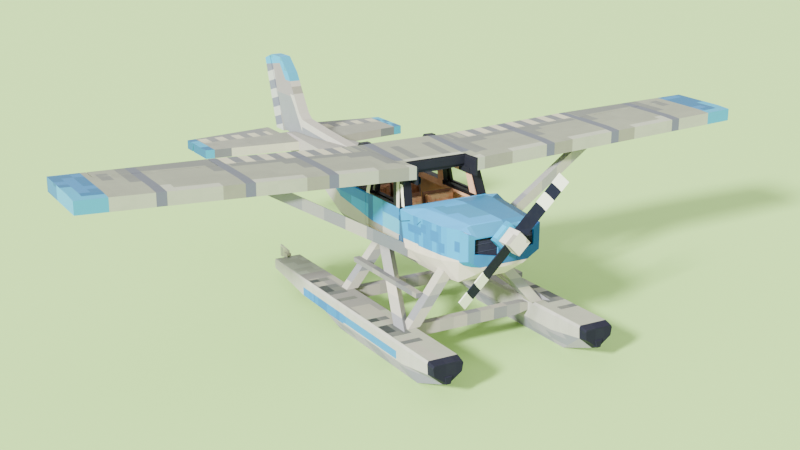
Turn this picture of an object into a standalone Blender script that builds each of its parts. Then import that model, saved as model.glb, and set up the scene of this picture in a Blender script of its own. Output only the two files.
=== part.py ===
"""A four-seat high-wing floatplane, standing on its two floats.

Metres, +Z up. The nose points to -Y and the port wing to +X. The origin is on the
ground, midway along the aircraft. Stations along the body are written as distances
aft of the wing's leading edge, and aft() turns them into Y.
"""
import math

import bmesh
import bpy
from mathutils import Matrix, Vector

# Driving dimensions
STATION_ZERO = -2.058          # Y of the wing's leading edge
GAP = 0.0003                 # between faces that touch
RUN = 0.008                  # clearance round a moving panel

SPAN_HALF = 5.5
DIHEDRAL = 0.0417            # rise for each metre outboard
WING_LE_LOW = 2.502          # heights at the centre line
WING_LE_TOP = 2.695
WING_KINK_TOP = 2.714
WING_TE_TOP = 2.729
WING_TE_LOW = 2.522
WING_KINK_Y = 0.253
CHORD_ROOT = 1.391
CHORD_TIP = 1.217
TAPER_START = 3.105
CENTRE_HALF = 0.76           # half width of the wing's centre section
NOTCH_HALF = 0.525
NOTCH_DEPTH = 0.343

FLAP_IN, FLAP_OUT = 0.776, 3.03
FLAP_CHORD = 0.33
AILERON_IN, AILERON_OUT = 3.18, 4.95
AILERON_CHORD = 0.27
FLAP_RUN = 0.012             # clearance ahead of a flap or aileron
END_RUN = 0.014              # and at its ends
AILERON_BEVEL = 0.06

FLOAT_X = 1.26               # float centre line
FLOAT_STERN = 2.917
FLOAT_STEP = 1.045
DECK_Z = 0.625

PROP_Y = -1.70
PROP_Z = 1.985
PROP_RADIUS = 1.138
PROP_REST = math.radians(43.7)

FIN_THICK = 0.19
STAB_TOP = 2.125
STAB_THICK = 0.15
STAB_HALF = 1.925
ELEVATOR_Y = 5.28


def aft(station):
    """Y of a station given as a distance aft of the wing's leading edge."""
    return station + STATION_ZERO


# Materials
def material(name, colour, rough=0.5, metal=0.0):
    mat = bpy.data.materials.get(name)
    if mat:
        return mat
    mat = bpy.data.materials.new(name)
    mat.use_nodes = True
    shader = mat.node_tree.nodes["Principled BSDF"]
    shader.inputs["Base Color"].default_value = (*colour, 1.0)
    shader.inputs["Roughness"].default_value = rough
    shader.inputs["Metallic"].default_value = metal
    return mat


def white():
    return material("white_paint", (0.56, 0.56, 0.52), 0.55)


def blue():
    return material("blue_paint", (0.30, 0.55, 0.72), 0.45)


def grey():
    return material("grey_paint", (0.33, 0.36, 0.38), 0.55)


def charcoal():
    return material("charcoal_trim", (0.045, 0.05, 0.065), 0.6)


def tan():
    return material("tan_trim", (0.36, 0.19, 0.11), 0.75)


def rubber():
    return material("rubber", (0.035, 0.038, 0.05), 0.7)


def metal():
    return material("engine_metal", (0.12, 0.12, 0.13), 0.5, 0.8)


# Mesh helpers
def keep(bm, name, mat, origin=None):
    """Turn a bmesh in world coordinates into an object, with its origin on its joint."""
    bmesh.ops.recalc_face_normals(bm, faces=bm.faces)
    mesh = bpy.data.meshes.new(name)
    pivot = Vector(origin) if origin else Vector((0, 0, 0))
    bmesh.ops.translate(bm, verts=bm.verts, vec=-pivot)
    bm.to_mesh(mesh)
    bm.free()
    mesh.materials.append(mat)
    obj = bpy.data.objects.new(name, mesh)
    obj.location = pivot
    bpy.context.collection.objects.link(obj)
    return obj


def add_loft(bm, loops):
    """Skin a row of closed loops that have equal counts, and cap both ends."""
    rings = [[bm.verts.new(p) for p in loop] for loop in loops]
    count = len(rings[0])
    for a, b in zip(rings, rings[1:]):
        for i in range(count):
            j = (i + 1) % count
            if a[i].co.x + a[j].co.x >= 0:
                bm.faces.new((a[i], a[j], b[j]))
                bm.faces.new((a[i], b[j], b[i]))
            else:
                bm.faces.new((a[j], b[j], b[i]))
                bm.faces.new((a[i], a[j], b[i]))
    bm.faces.new(rings[0])
    bm.faces.new(list(reversed(rings[-1])))


def loft(name, loops, mat, origin=None):
    bm = bmesh.new()
    add_loft(bm, loops)
    return keep(bm, name, mat, origin)


def add_box(bm, low, high):
    (x0, y0, z0), (x1, y1, z1) = low, high
    add_loft(bm, [[(x0, y0, z), (x1, y0, z), (x1, y1, z), (x0, y1, z)] for z in (z0, z1)])


def box(name, low, high, mat, origin=None):
    bm = bmesh.new()
    add_box(bm, low, high)
    return keep(bm, name, mat, origin)


def tube(name, start, end, radius, mat, sides=12, origin=None):
    """A closed round bar between two points."""
    a, b = Vector(start), Vector(end)
    axis = (b - a).normalized()
    side = axis.orthogonal().normalized()
    up = axis.cross(side)
    turn = [2 * math.pi * i / sides for i in range(sides)]
    ring = [side * math.cos(t) * radius + up * math.sin(t) * radius for t in turn]
    return loft(name, [[a + r for r in ring], [b + r for r in ring]], mat, origin)


def helper(obj):
    obj.hide_render = True
    obj.display_type = "WIRE"
    obj.name = "cutter"
    return obj


def tidy(mesh):
    """Weld stray points and merge faces that lie in one plane."""
    bm = bmesh.new()
    bm.from_mesh(mesh)
    bmesh.ops.remove_doubles(bm, verts=bm.verts, dist=0.00002)
    bmesh.ops.dissolve_degenerate(bm, edges=bm.edges, dist=0.00002)
    bmesh.ops.dissolve_limit(bm, verts=bm.verts, edges=bm.edges, angle_limit=0.0004)
    bm.to_mesh(mesh)
    bm.free()


def boolean(obj, other, operation):
    """Apply one exact Boolean and remove the other object."""
    helper(other)
    mod = obj.modifiers.new("boolean", "BOOLEAN")
    mod.solver = "EXACT"
    mod.operation = operation
    mod.object = other
    graph = bpy.context.evaluated_depsgraph_get()
    result = bpy.data.meshes.new_from_object(obj.evaluated_get(graph))
    mat = obj.data.materials[0]
    obj.modifiers.clear()
    obj.data = result
    result.materials.clear()
    result.materials.append(mat)
    result.name = obj.name
    bpy.data.objects.remove(other)
    tidy(result)
    return obj


def cut(obj, other):
    return boolean(obj, other, "DIFFERENCE")


def join(obj, other):
    return boolean(obj, other, "UNION")


def cut_box(obj, low, high):
    return cut(obj, box("cutter", low, high, charcoal()))


def join_box(obj, low, high):
    return join(obj, box("adder", low, high, charcoal()))


def bar(name, start, end, face_start, face_end, size, mat):
    """A square bar whose two ends lie on given planes, each (point, normal)."""
    a, b = Vector(start), Vector(end)
    axis = (b - a).normalized()
    along = Vector((0, 1, 0))
    side = axis.cross(along).normalized()
    fore = side.cross(axis).normalized()
    half_side, half_fore = size[0] / 2, size[1] / 2
    loops = []
    for point, normal in (face_start, face_end):
        p, n = Vector(point), Vector(normal).normalized()
        loop = []
        for s, t in ((-1, -1), (1, -1), (1, 1), (-1, 1)):
            corner = a + side * half_side * s + fore * half_fore * t
            reach = (p - corner).dot(n) / axis.dot(n)
            loop.append(corner + axis * reach)
        loops.append(loop)
    return loft(name, loops, mat)


SIDES = (("port", 1), ("starboard", -1))


# Fuselage sections: station, then half width and height of the top edge, the side's
# top, the side's foot and the belly's edge
COWL_STATIONS = [
    (-1.490, 0.45, 2.045, 0.595, 2.110, 0.590, 1.720, 0.32, 1.560),
    (-1.285, 0.44, 2.172, 0.612, 2.125, 0.608, 1.660, 0.33, 1.430),
    (-0.950, 0.48, 2.180, 0.703, 2.104, 0.695, 1.610, 0.40, 1.230),
    (-0.640, 0.53, 2.183, 0.742, 2.108, 0.728, 1.580, 0.41, 1.205),
    (-0.320, 0.58, 2.185, 0.790, 2.113, 0.752, 1.562, 0.42, 1.190),
    (-0.070, 0.67, 2.160, 0.840, 2.145, 0.765, 1.560, 0.42, 1.190),
    (0.020, 0.70, 2.140, 0.790, 2.110, 0.755, 1.560, 0.42, 1.190),
]
TAIL_STATIONS = [
    (1.980, 0.46, 2.380, 0.740, 2.190, 0.755, 1.560, 0.42, 1.190),
    (3.100, 0.26, 2.320, 0.480, 2.265, 0.500, 1.680, 0.30, 1.420),
    (4.300, 0.16, 2.225, 0.290, 2.200, 0.290, 1.780, 0.20, 1.660),
    (4.950, 0.12, 2.195, 0.200, 2.175, 0.195, 1.850, 0.14, 1.770),
    (5.240, 0.10, 2.135, 0.150, 2.132, 0.145, 1.890, 0.12, 1.830),
]
CABIN_START, CABIN_END = 0.020, 1.980
BELT_Z = 2.085
SIDE_X = 0.755
SHELL = 0.05
BULKHEAD = 0.04
TAIL_SKIN = 0.016
TAIL_HOLLOW = 4.30           # station of the tailcone's inner end
TURN_FOOT = (0.755, 1.56)    # lower edge of the side wall
BELLY_EDGE = (0.42, 1.19)    # edge of the flat belly
DOOR_START, DOOR_END = 0.104, 1.120
DOOR_LOW = 1.60
DOOR_KNUCKLE = 0.012         # radius of a door hinge's knuckle
FRAME_TOP = 2.49


def body_loop(row, inset=0.0):
    """One closed fuselage section with eight corners."""
    station, xt, zt, xs, zs, xl, zl, xb, zb = row
    y = aft(station)
    half = [(xt - inset * 0.6, zt - inset), (xs - inset, zs - inset * 0.4),
            (xl - inset, zl + inset * 0.4), (xb - inset * 0.4, zb + inset)]
    right = [(x, y, z) for x, z in half]
    left = [(-x, y, z) for x, z in reversed(half)]
    return right + left


def grown_body(rows):
    """A cutter a gap larger than the body, past its rear end too."""
    loops = [body_loop(r, -GAP) for r in rows]
    loops[-1] = [(x, y + GAP, z) for x, y, z in loops[-1]]
    return loft("cutter", loops, charcoal())


def make_cowl():
    """The engine cowl: a shell with two inlets and a hole for the propeller shaft."""
    rows = COWL_STATIONS
    obj = loft("cowl", [body_loop(r) for r in rows], blue())
    inner = [body_loop(r, 0.03) for r in rows[:-2]]
    inner[0] = [(x, y + 0.03, z) for x, y, z in inner[0]]
    for station in (-0.06, 0.07):
        inner.append([(x, aft(station), z) for x, _, z in body_loop(rows[-1], 0.03)])
    cut(obj, loft("cutter", inner, charcoal()))
    face = aft(rows[0][0])
    for _, side in SIDES:
        mouth = [(0.10, 1.725), (0.488, 1.81), (0.488, 2.022), (0.10, 2.022)]
        loops = [[(side * x, y, z) for x, z in mouth] for y in (face - 0.05, face + 0.08)]
        cut(obj, loft("cutter", loops, charcoal()))
    shaft = (0, face - 0.05, PROP_Z), (0, face + 0.08, PROP_Z)
    cut(obj, tube("cutter", *shaft, 0.065, charcoal()))
    return obj


def make_engine():
    """A plain block for the engine, with the shaft that carries the propeller."""
    obj = box("engine_block", (-0.43, aft(-1.25), 1.60), (0.43, aft(-0.35), 2.08), metal())
    join_box(obj, (-0.12, aft(-0.36), 1.70), (0.12, aft(FIREWALL[0]) - GAP, 1.98))
    shaft = (0, aft(-1.30), PROP_Z), (0, aft(PROP_BACK) + GAP, PROP_Z)
    boss = (0, aft(-1.24), PROP_Z), (0, aft(-1.40), PROP_Z)
    join(obj, tube("adder", *boss, 0.055, metal()))
    join(obj, tube("adder", *shaft, 0.05, metal()))
    return obj


PROP_BACK = -1.50            # rear face of the spinner's backplate
FIREWALL = (-0.030, 0.020)   # stations of its front and rear face


def cabin_section(y, inset):
    """The cabin's open trough: side walls, turned-under corners and floor."""
    xf, zf = TURN_FOOT
    xb, zb = BELLY_EDGE
    half = [(SIDE_X - inset, BELT_Z), (xf - inset, zf + inset * 0.4),
            (xb - inset * 0.4, zb + inset)]
    right = [(x, y, z) for x, z in half]
    return right + [(-x, y, z) for x, _, z in reversed(right)]


def make_cabin_shell():
    """Floor, side walls and the rear bulkhead, with an aperture for each door."""
    y0, y1 = aft(CABIN_START) + GAP, aft(CABIN_END) - GAP
    obj = loft("cabin_shell", [cabin_section(y, 0.0) for y in (y0, y1)], white())
    inner = [cabin_section(y, SHELL) for y in (y0 - 0.05, y1 - BULKHEAD)]
    raised = [[(x, y, z + (0.2 if z >= BELT_Z - 0.001 else 0.0)) for x, y, z in loop]
              for loop in inner]
    cut(obj, loft("cutter", raised, charcoal()))
    for _, side in SIDES:
        x0, x1 = sorted((side * 0.60, side * 0.90))
        cut_box(obj, (x0, aft(DOOR_START) - DOOR_KNUCKLE - GAP, DOOR_LOW - RUN),
                (x1, aft(DOOR_END) + RUN, BELT_Z + 0.2))
    return obj


def make_firewall():
    """The bulkhead between engine and cabin, which fills the cowl's rear end."""
    section = body_loop(COWL_STATIONS[-1], 0.03 + GAP)
    loops = [[(x, aft(s), z) for x, _, z in section] for s in FIREWALL]
    return loft("firewall", loops, grey())


def make_instrument_panel():
    """The panel behind the windscreen's foot, with two stub columns and yokes."""
    y0, y1 = aft(FIREWALL[1]) + GAP, aft(0.13)
    half = [(0.66, 1.72), (0.66, 1.99), (0.565, 1.99), (0.565, 2.06), (0.54, 2.085)]
    outline = half + [(-x, z) for x, z in reversed(half)]
    obj = loft("instrument_panel", [[(x, y, z) for x, z in outline] for y in (y0, y1)], charcoal())
    for side in (-1, 1):
        x = side * 0.28
        join(obj, tube("adder", (x, y1 - 0.02, 1.86), (x, y1 + 0.16, 1.86), 0.014, charcoal()))
        join_box(obj, (x - 0.14, y1 + 0.15, 1.845), (x + 0.14, y1 + 0.18, 1.875))
        for tip in (-1, 1):
            xt = x + tip * 0.125
            join_box(obj, (xt - 0.015, y1 + 0.152, 1.86), (xt + 0.015, y1 + 0.178, 1.95))
    return obj


# The frame's bars, each as an outline at its foot and one at its head. The columns
# are half width and station; the heights come with the bar's name.
FRAME_FOOT = 2.01
SILL_TOP = 2.115
FRAME_HEAD = 2.58            # beyond the wing's underside, and trimmed back to it
SLOPE_BASE = BELT_Z + GAP    # bars that stand on the side walls start here
FRAME_BARS = [
    ("windscreen post, outer", SLOPE_BASE, [(0.575, 0.0206), (0.715, 0.0206), (0.715, 0.096), (0.575, 0.096)],
     2.490, [(0.531, 0.156), (0.671, 0.156), (0.671, 0.231), (0.531, 0.231)]),
    ("windscreen post, inner", FRAME_FOOT, [(0.575, 0.070), (0.648, 0.070), (0.648, 0.240), (0.575, 0.240)],
     FRAME_HEAD, [(0.525, 0.240), (0.600, 0.240), (0.600, 0.400), (0.525, 0.400)]),
    ("door post", FRAME_FOOT, [(0.575, 1.020), (0.648, 1.020), (0.648, 1.180), (0.575, 1.180)],
     FRAME_HEAD, [(0.525, 1.020), (0.600, 1.020), (0.600, 1.180), (0.525, 1.180)]),
    ("rear post", SLOPE_BASE, [(0.500, 1.860), (0.648, 1.860), (0.648, 1.975), (0.500, 1.975)],
     2.775, [(0.500, 1.400), (0.655, 1.400), (0.655, 1.520), (0.500, 1.520)]),
]
# Rails: the outline across the body as half width and height, and two stations
FRAME_RAILS = [
    ("head rail", [(0.485, 2.44), (0.606, 2.44), (0.606, FRAME_HEAD), (0.485, FRAME_HEAD)], 0.170, 1.520),
    ("sill", [(0.575, FRAME_FOOT), (0.648, FRAME_FOOT), (0.648, SILL_TOP), (0.575, SILL_TOP)], 0.070, 1.930),
    ("sill ledge", [(0.575, SLOPE_BASE), (0.715, SLOPE_BASE), (0.715, SILL_TOP), (0.575, SILL_TOP)], 1.138, 1.979),
]
HEADER = (0.313, 0.343)      # stations of the windscreen header's front and rear face
HEADER_LOW = 2.565
CHEEK_IN = 0.495             # half width between the notch's cheeks


def make_cabin_frame():
    """Posts, rails, sills and the windscreen header, welded as one frame."""
    obj = box("cabin_frame", (-0.600, aft(1.945), SLOPE_BASE), (0.600, aft(1.979), SILL_TOP), charcoal())
    for _, side in SIDES:
        for _, outline, start, end in FRAME_RAILS:
            loops = [[(side * x, aft(s), z) for x, z in outline] for s in (start, end)]
            join(obj, loft("adder", loops, charcoal()))
        for _, foot_z, foot, head_z, head in FRAME_BARS:
            loops = [[(side * x, aft(s), z) for x, s in outline]
                     for outline, z in ((foot, foot_z), (head, head_z))]
            join(obj, loft("adder", loops, charcoal()))
    reach = CENTRE_HALF + 0.1
    under = [wing_loop(x, -0.1, CHORD_ROOT + GAP, GAP) for x in (-reach, 0.0, reach)]
    cut(obj, loft("cutter", under, charcoal()))
    inner, back = NOTCH_HALF - GAP, aft(NOTCH_DEPTH) - GAP
    join_box(obj, (-inner, aft(HEADER[0]), HEADER_LOW), (inner, back, 2.69))
    for _, side in SIDES:
        x0, x1 = sorted((side * CHEEK_IN, side * inner))
        join_box(obj, (x0, aft(0.002), 2.44), (x1, back, 2.69))
    return obj


def make_tailcone():
    """The rear fuselage: a shell open at the cabin bulkhead, with a slot for the tailplane."""
    rows = TAIL_STATIONS
    obj = loft("tailcone", [body_loop(r) for r in rows], white())
    inner = [body_loop(r, TAIL_SKIN) for r in rows if r[0] <= TAIL_HOLLOW]
    inner[0] = [(x, y - 0.05, z) for x, y, z in inner[0]]
    cut(obj, loft("cutter", inner, charcoal()))
    return cut(obj, stabiliser_block("cutter", GAP, 0.1))


def make_seat(name, x, width, front, depth, height, lean):
    """A seat: cushion and backrest on a plain pedestal, one solid."""
    floor = BELLY_EDGE[1] + SHELL + GAP
    half = width / 2
    top, low = 1.56, 1.44
    outline = [(front, low), (front, top), (front + depth - lean, top), (front + depth, height),
               (front + depth + 0.12, height), (front + depth + 0.10, low)]
    loops = [[(xx, aft(s), z) for s, z in outline] for xx in (x - half, x + half)]
    obj = loft(name, loops, tan())
    reach = min(half - 0.09, BELLY_EDGE[0] - 0.035 - abs(x))
    join_box(obj, (x - reach, aft(front + 0.06), floor), (x + reach, aft(front + depth), low + 0.02))
    return obj


def make_seats():
    make_seat("front_seat_port", 0.28, 0.53, 0.22, 0.42, 2.09, 0.06)
    make_seat("front_seat_starboard", -0.28, 0.53, 0.22, 0.42, 2.09, 0.06)
    make_seat("rear_bench", 0.0, 1.04, 1.18, 0.46, 2.05, 0.08)


# Wing
def wing_top(x, s):
    """Height of the wing's upper surface at x and station s."""
    rise = DIHEDRAL * abs(x)
    if s < WING_KINK_Y:
        return WING_LE_TOP + (WING_KINK_TOP - WING_LE_TOP) * s / WING_KINK_Y + rise
    share = (s - WING_KINK_Y) / (CHORD_ROOT - WING_KINK_Y)
    return WING_KINK_TOP + (WING_TE_TOP - WING_KINK_TOP) * share + rise


def wing_low(x, s):
    return WING_LE_LOW + (WING_TE_LOW - WING_LE_LOW) * s / CHORD_ROOT + DIHEDRAL * abs(x)


def chord(x):
    span = max(0.0, abs(x) - TAPER_START) / (SPAN_HALF - TAPER_START)
    return CHORD_ROOT + (CHORD_TIP - CHORD_ROOT) * span


def wing_loop(x, start, end, grow=0.0):
    """The wing's section at x between two stations, as six corners or four."""
    upper = [start] + ([WING_KINK_Y] if start < WING_KINK_Y else []) + [end]
    loop = [(x, aft(s), wing_top(x, s) + grow) for s in upper]
    return loop + [(x, aft(s), wing_low(x, s) - grow) for s in reversed(upper)]


def wing_solid(name, xs, start, ends, mat, origin=None):
    loops = [wing_loop(x, start, e) for x, e in zip(xs, ends)]
    return loft(name, loops, mat, origin)


def wing_block(xs, start, end, grow=0.3):
    """A cutter for the space of a flap or an aileron, open to the trailing edge."""
    loops = []
    for x in xs:
        z0, z1 = wing_low(x, start) - grow, wing_top(x, start) + grow
        loops.append([(x, aft(start), z0), (x, aft(end), z0), (x, aft(end), z1), (x, aft(start), z1)])
    return loft("cutter", loops, charcoal())


def flap_start():
    return CHORD_ROOT - FLAP_CHORD


def aileron_start():
    return chord(AILERON_OUT) - AILERON_CHORD


def make_wing_panel(name, side):
    xs = [side * v for v in (CENTRE_HALF + GAP, TAPER_START, SPAN_HALF)]
    obj = wing_solid(name, xs, 0.0, [chord(x) for x in xs], white())
    flap = [side * v for v in (CENTRE_HALF - 0.05, FLAP_OUT + END_RUN)]
    cut(obj, wing_block(flap, flap_start() - FLAP_RUN, CHORD_ROOT + 0.2))
    ail = [side * v for v in (AILERON_IN - END_RUN, AILERON_OUT + END_RUN)]
    cut(obj, wing_block(ail, aileron_start() - FLAP_RUN, CHORD_ROOT + 0.2))
    return obj


LEVEL_HALF = 0.55            # half width of the level top over the cabin
LEVEL_TOP = (2.718, 2.708, 2.770)    # its heights at the front, the kink and the rear


def centre_loop(x):
    """The centre section's outline at x, level on top near the middle."""
    loop = wing_loop(x, 0.0, CHORD_ROOT)
    if abs(x) <= LEVEL_HALF:
        loop[:3] = [(x, y, z) for (_, y, _), z in zip(loop, LEVEL_TOP)]
    return loop


def make_wing_centre():
    xs = (-CENTRE_HALF, -LEVEL_HALF, 0.0, LEVEL_HALF, CENTRE_HALF)
    obj = loft("wing_centre", [centre_loop(x) for x in xs], white())
    cut_box(obj, (-NOTCH_HALF, aft(-0.1), 2.3), (NOTCH_HALF, aft(NOTCH_DEPTH), 2.9))
    return obj


KNUCKLE_HALF = 0.05          # half length and radius of a hinge knuckle
KNUCKLE = FLAP_RUN - GAP


def make_flap(name, side):
    """A flap hinged at its lower front edge, with three hinge knuckles."""
    xs = [side * v for v in (FLAP_IN, FLAP_OUT)]
    start = flap_start()
    pivot = (side * 1.9, aft(start), wing_low(1.9, start) + KNUCKLE)
    obj = wing_solid(name, xs, start, [CHORD_ROOT] * 2, white(), pivot)
    for x in (1.1, 1.9, 2.75):
        ends = [(side * v, aft(start), wing_low(v, start) + KNUCKLE) for v in (x - KNUCKLE_HALF, x + KNUCKLE_HALF)]
        join(obj, tube("adder", *ends, KNUCKLE, charcoal()))
    return obj


def make_aileron(name, side):
    """An aileron hinged at its upper front edge, its front face bevelled for the throw."""
    xs = [side * v for v in (AILERON_IN, AILERON_OUT)]
    start = aileron_start()
    loops = []
    for x in xs:
        low = start + AILERON_BEVEL
        end = chord(x)
        loops.append([(x, aft(start), wing_top(x, start)), (x, aft(end), wing_top(x, end)),
                      (x, aft(end), wing_low(x, end)), (x, aft(low), wing_low(x, low))])
    drop = KNUCKLE
    pivot = (side * 4.0, aft(start), wing_top(4.0, start) - drop)
    obj = loft(name, loops, white(), pivot)
    for x in (3.4, 4.1, 4.75):
        ends = [(side * v, aft(start), wing_top(v, start) - drop) for v in (x - KNUCKLE_HALF, x + KNUCKLE_HALF)]
        join(obj, tube("adder", *ends, KNUCKLE, charcoal()))
    return obj


STRUT_ROOT = (0.74, -0.081, 1.418)    # x, station and height of the front lower edge
STRUT_HEAD = (2.90, 0.258, 2.623)
STRUT_TALL, STRUT_DEEP = 0.165, 0.13


def make_wing_strut(name, side):
    """A straight lift strut from the body's side to the wing's underside."""
    (x0, s0, z0), (x1, s1, z1) = STRUT_ROOT, STRUT_HEAD
    lean = (s1 - s0) / (x1 - x0)
    climb = (z1 - z0) / (x1 - x0)
    rise = STRUT_TALL * math.hypot(1.0, climb)
    root, head = [], []
    for deep, up in ((0, 0), (STRUT_DEEP, 0), (STRUT_DEEP, rise), (0, rise)):
        s, z = s0 + deep, z0 + up
        inward = 0.25
        root.append((side * (x0 - inward), aft(s - lean * inward), z - climb * inward))
        reach = (wing_low(x0, s) - GAP - z) / (climb - DIHEDRAL - WING_TILT * lean)
        head.append((side * (x0 + reach), aft(s + lean * reach), z + climb * reach))
    return trim_to_body(loft(name, [root, head], white()))


WING_TILT = (WING_TE_LOW - WING_LE_LOW) / CHORD_ROOT


# Tail
FIN_FRONT = [                # stations and heights of the fin's leading edge, foot to top
    (3.00, 2.332), (3.98, 2.395), (4.53, 2.444), (4.685, 2.462), (4.806, 2.548), (4.955, 2.760),
    (5.245, 3.200), (5.545, 3.452),
]
FIN_TOP_REAR = (5.930, 3.447)
HINGE_FOOT = (5.458, 2.110)
HINGE_TOP = (6.009, 3.420)
RUDDER_GAP = 0.032
RUDDER_REAR = [(5.788, 2.110), (6.206, 3.345)]


def hinge_station(z):
    """Station of the rudder's hinge line at height z."""
    lean = (HINGE_TOP[0] - HINGE_FOOT[0]) / (HINGE_TOP[1] - HINGE_FOOT[1])
    return HINGE_FOOT[0] + lean * (z - HINGE_FOOT[1])


def make_fin():
    """The fin with its dorsal fillet, seated on the tailcone and the stabiliser."""
    seat = STAB_TOP + GAP
    clear = STAB_TOP + 0.015
    rear = ELEVATOR_Y - 0.03
    outline = FIN_FRONT + [FIN_TOP_REAR, (hinge_station(3.43) - RUDDER_GAP, 3.43),
                           (hinge_station(clear) - RUDDER_GAP, clear), (rear, clear), (rear, seat),
                           (4.70, seat), (4.55, seat - 0.03), (3.00, 2.235)]
    half = FIN_THICK / 2
    loops = [[(x, aft(s), z) for s, z in outline] for x in (-half, half)]
    obj = loft("fin", loops, white())
    stab = stabiliser_block("cutter", GAP)
    cut(obj, stab)
    return cut(obj, grown_body(TAIL_STATIONS))


def make_rudder():
    """The rudder, hinged along its slanted front face, with three knuckles."""
    front = [HINGE_FOOT, HINGE_TOP]
    outline = [HINGE_FOOT] + RUDDER_REAR + [HINGE_TOP]
    half = FIN_THICK / 2
    loops = [[(x, aft(s), z) for s, z in outline] for x in (-half, half)]
    pivot = (0, aft(HINGE_FOOT[0]), HINGE_FOOT[1])
    obj = loft("rudder", loops, white(), pivot)
    a, b = (Vector((0, aft(s), z)) for s, z in front)
    lean = (HINGE_TOP[0] - HINGE_FOOT[0]) / (HINGE_TOP[1] - HINGE_FOOT[1])
    radius = RUDDER_GAP / math.hypot(1.0, lean) - GAP
    for share in (0.12, 0.5, 0.88):
        ends = [a + (b - a) * (share - 0.04), a + (b - a) * (share + 0.04)]
        join(obj, tube("adder", *ends, radius, charcoal(), 16))
    return obj


STAB_TIP_LE, STAB_ROOT_LE = 4.70, 4.46
STAB_TIP_TE, STAB_ROOT_TE = 5.56, 5.86
ELEVATOR_IN = 0.26
ELEVATOR_BEVEL = 0.055
TAIL_SHEET = 0.024           # skin of the tailplane and the elevator, hollow towards their hinge
TAIL_RIB = 0.045             # and the solid edge round each hollow


def stabiliser_block(name, grow=0.0, beyond=0.0):
    """The tailplane's outline between its two faces, and beyond its rear for a cutter."""
    z1, z0 = STAB_TOP + grow, STAB_TOP - STAB_THICK - grow
    rear = ELEVATOR_Y - FLAP_RUN + grow + beyond
    lead = grow * 1.1
    outline = [(-STAB_HALF, STAB_TIP_LE - lead), (0, STAB_ROOT_LE - lead), (STAB_HALF, STAB_TIP_LE - lead),
               (STAB_HALF, rear), (-STAB_HALF, rear)]
    loops = [[(x, aft(s), z) for x, s in outline] for z in (z0, z1)]
    return loft(name, loops, white())


def tail_hollow(outline):
    """A cutter between the skins of the tailplane, from stations across it."""
    heights = STAB_TOP - STAB_THICK + TAIL_SHEET, STAB_TOP - TAIL_SHEET
    return loft("cutter", [[(x, aft(s), z) for x, s in outline] for z in heights], white())


def make_stabiliser():
    """The fixed tailplane, one piece through the tailcone's slot, open behind at the hinge."""
    obj = stabiliser_block("stabiliser")
    end = STAB_HALF - TAIL_RIB
    nose = 2 * TAIL_RIB
    outline = [(-end, STAB_TIP_LE + nose), (0, STAB_ROOT_LE + nose), (end, STAB_TIP_LE + nose),
               (end, ELEVATOR_Y + 0.05), (-end, ELEVATOR_Y + 0.05)]
    return cut(obj, tail_hollow(outline))


def make_elevator():
    """Both elevator halves on one torque tube, hinged at the upper front edge."""
    z1, z0 = STAB_TOP, STAB_TOP - STAB_THICK
    drop = KNUCKLE
    pivot = (0, aft(ELEVATOR_Y), z1 - drop)
    slope = (STAB_ROOT_TE - STAB_TIP_TE) / STAB_HALF
    obj = None
    for _, side in SIDES:
        loops = []
        for x in (ELEVATOR_IN, STAB_HALF):
            end = STAB_ROOT_TE - slope * x
            loops.append([(side * x, aft(ELEVATOR_Y), z1), (side * x, aft(end), z1),
                          (side * x, aft(end), z0), (side * x, aft(ELEVATOR_Y + ELEVATOR_BEVEL), z0)])
        half = loft("elevator_half", loops, white())
        ends = ELEVATOR_IN + TAIL_RIB, STAB_HALF - TAIL_RIB
        rear = [(side * x, STAB_ROOT_TE - slope * x - 2 * TAIL_RIB) for x in reversed(ends)]
        cut(half, tail_hollow([(side * x, ELEVATOR_Y - 0.05) for x in ends] + rear))
        if obj is None:
            obj = half
        else:
            join(obj, half)
    for x0, x1 in ((-1.85, -1.75), (-1.05, -0.95), (-0.30, 0.30), (0.95, 1.05), (1.75, 1.85)):
        ends = (x0, aft(ELEVATOR_Y), z1 - drop), (x1, aft(ELEVATOR_Y), z1 - drop)
        join(obj, tube("adder", *ends, drop, charcoal()))
    obj.name = "elevator"
    shift = Matrix.Translation(-Vector(pivot))
    obj.data.transform(shift)
    obj.location = pivot
    return obj


# Propeller
def turned(points, angle, centre):
    """Turn points about the propeller's axis."""
    c, s = math.cos(angle), math.sin(angle)
    cx, cz = centre
    out = []
    for x, y, z in points:
        dx, dz = x - cx, z - cz
        out.append((cx + dx * c - dz * s, y, cz + dx * s + dz * c))
    return out


def square_block(name, half, front, rear, mat, origin):
    corners = [(-half, -half), (half, -half), (half, half), (-half, half)]
    loops = []
    for s in (front, rear):
        loop = [(x, aft(s), PROP_Z + z) for x, z in corners]
        loops.append(turned(loop, PROP_REST, (0, PROP_Z)))
    return loft(name, loops, mat, origin)


HUB_HALF = 0.124
HUB_FRONT, HUB_REAR = -1.85, -1.60
PLATE_HALF = 0.17
BLADE_CHORD, BLADE_THICK = 0.195, 0.016
BLADE_PITCH = math.radians(15)


def make_blade(name, side, origin):
    """A straight flat blade set at its pitch, its root on the hub's side."""
    half_c, half_t = BLADE_CHORD / 2, BLADE_THICK / 2
    c, s = math.cos(BLADE_PITCH * side), math.sin(BLADE_PITCH * side)
    section = []
    for u, v in ((-half_c, -half_t), (half_c, -half_t), (half_c, half_t), (-half_c, half_t)):
        section.append((u * s - v * c, u * c + v * s))
    loops = []
    for x in (HUB_HALF + GAP, PROP_RADIUS):
        loop = [(side * x, aft(PROP_Y) + dy, PROP_Z + dz) for dy, dz in section]
        loops.append(turned(loop, PROP_REST, (0, PROP_Z)))
    return loft(name, loops, charcoal(), origin)


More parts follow.
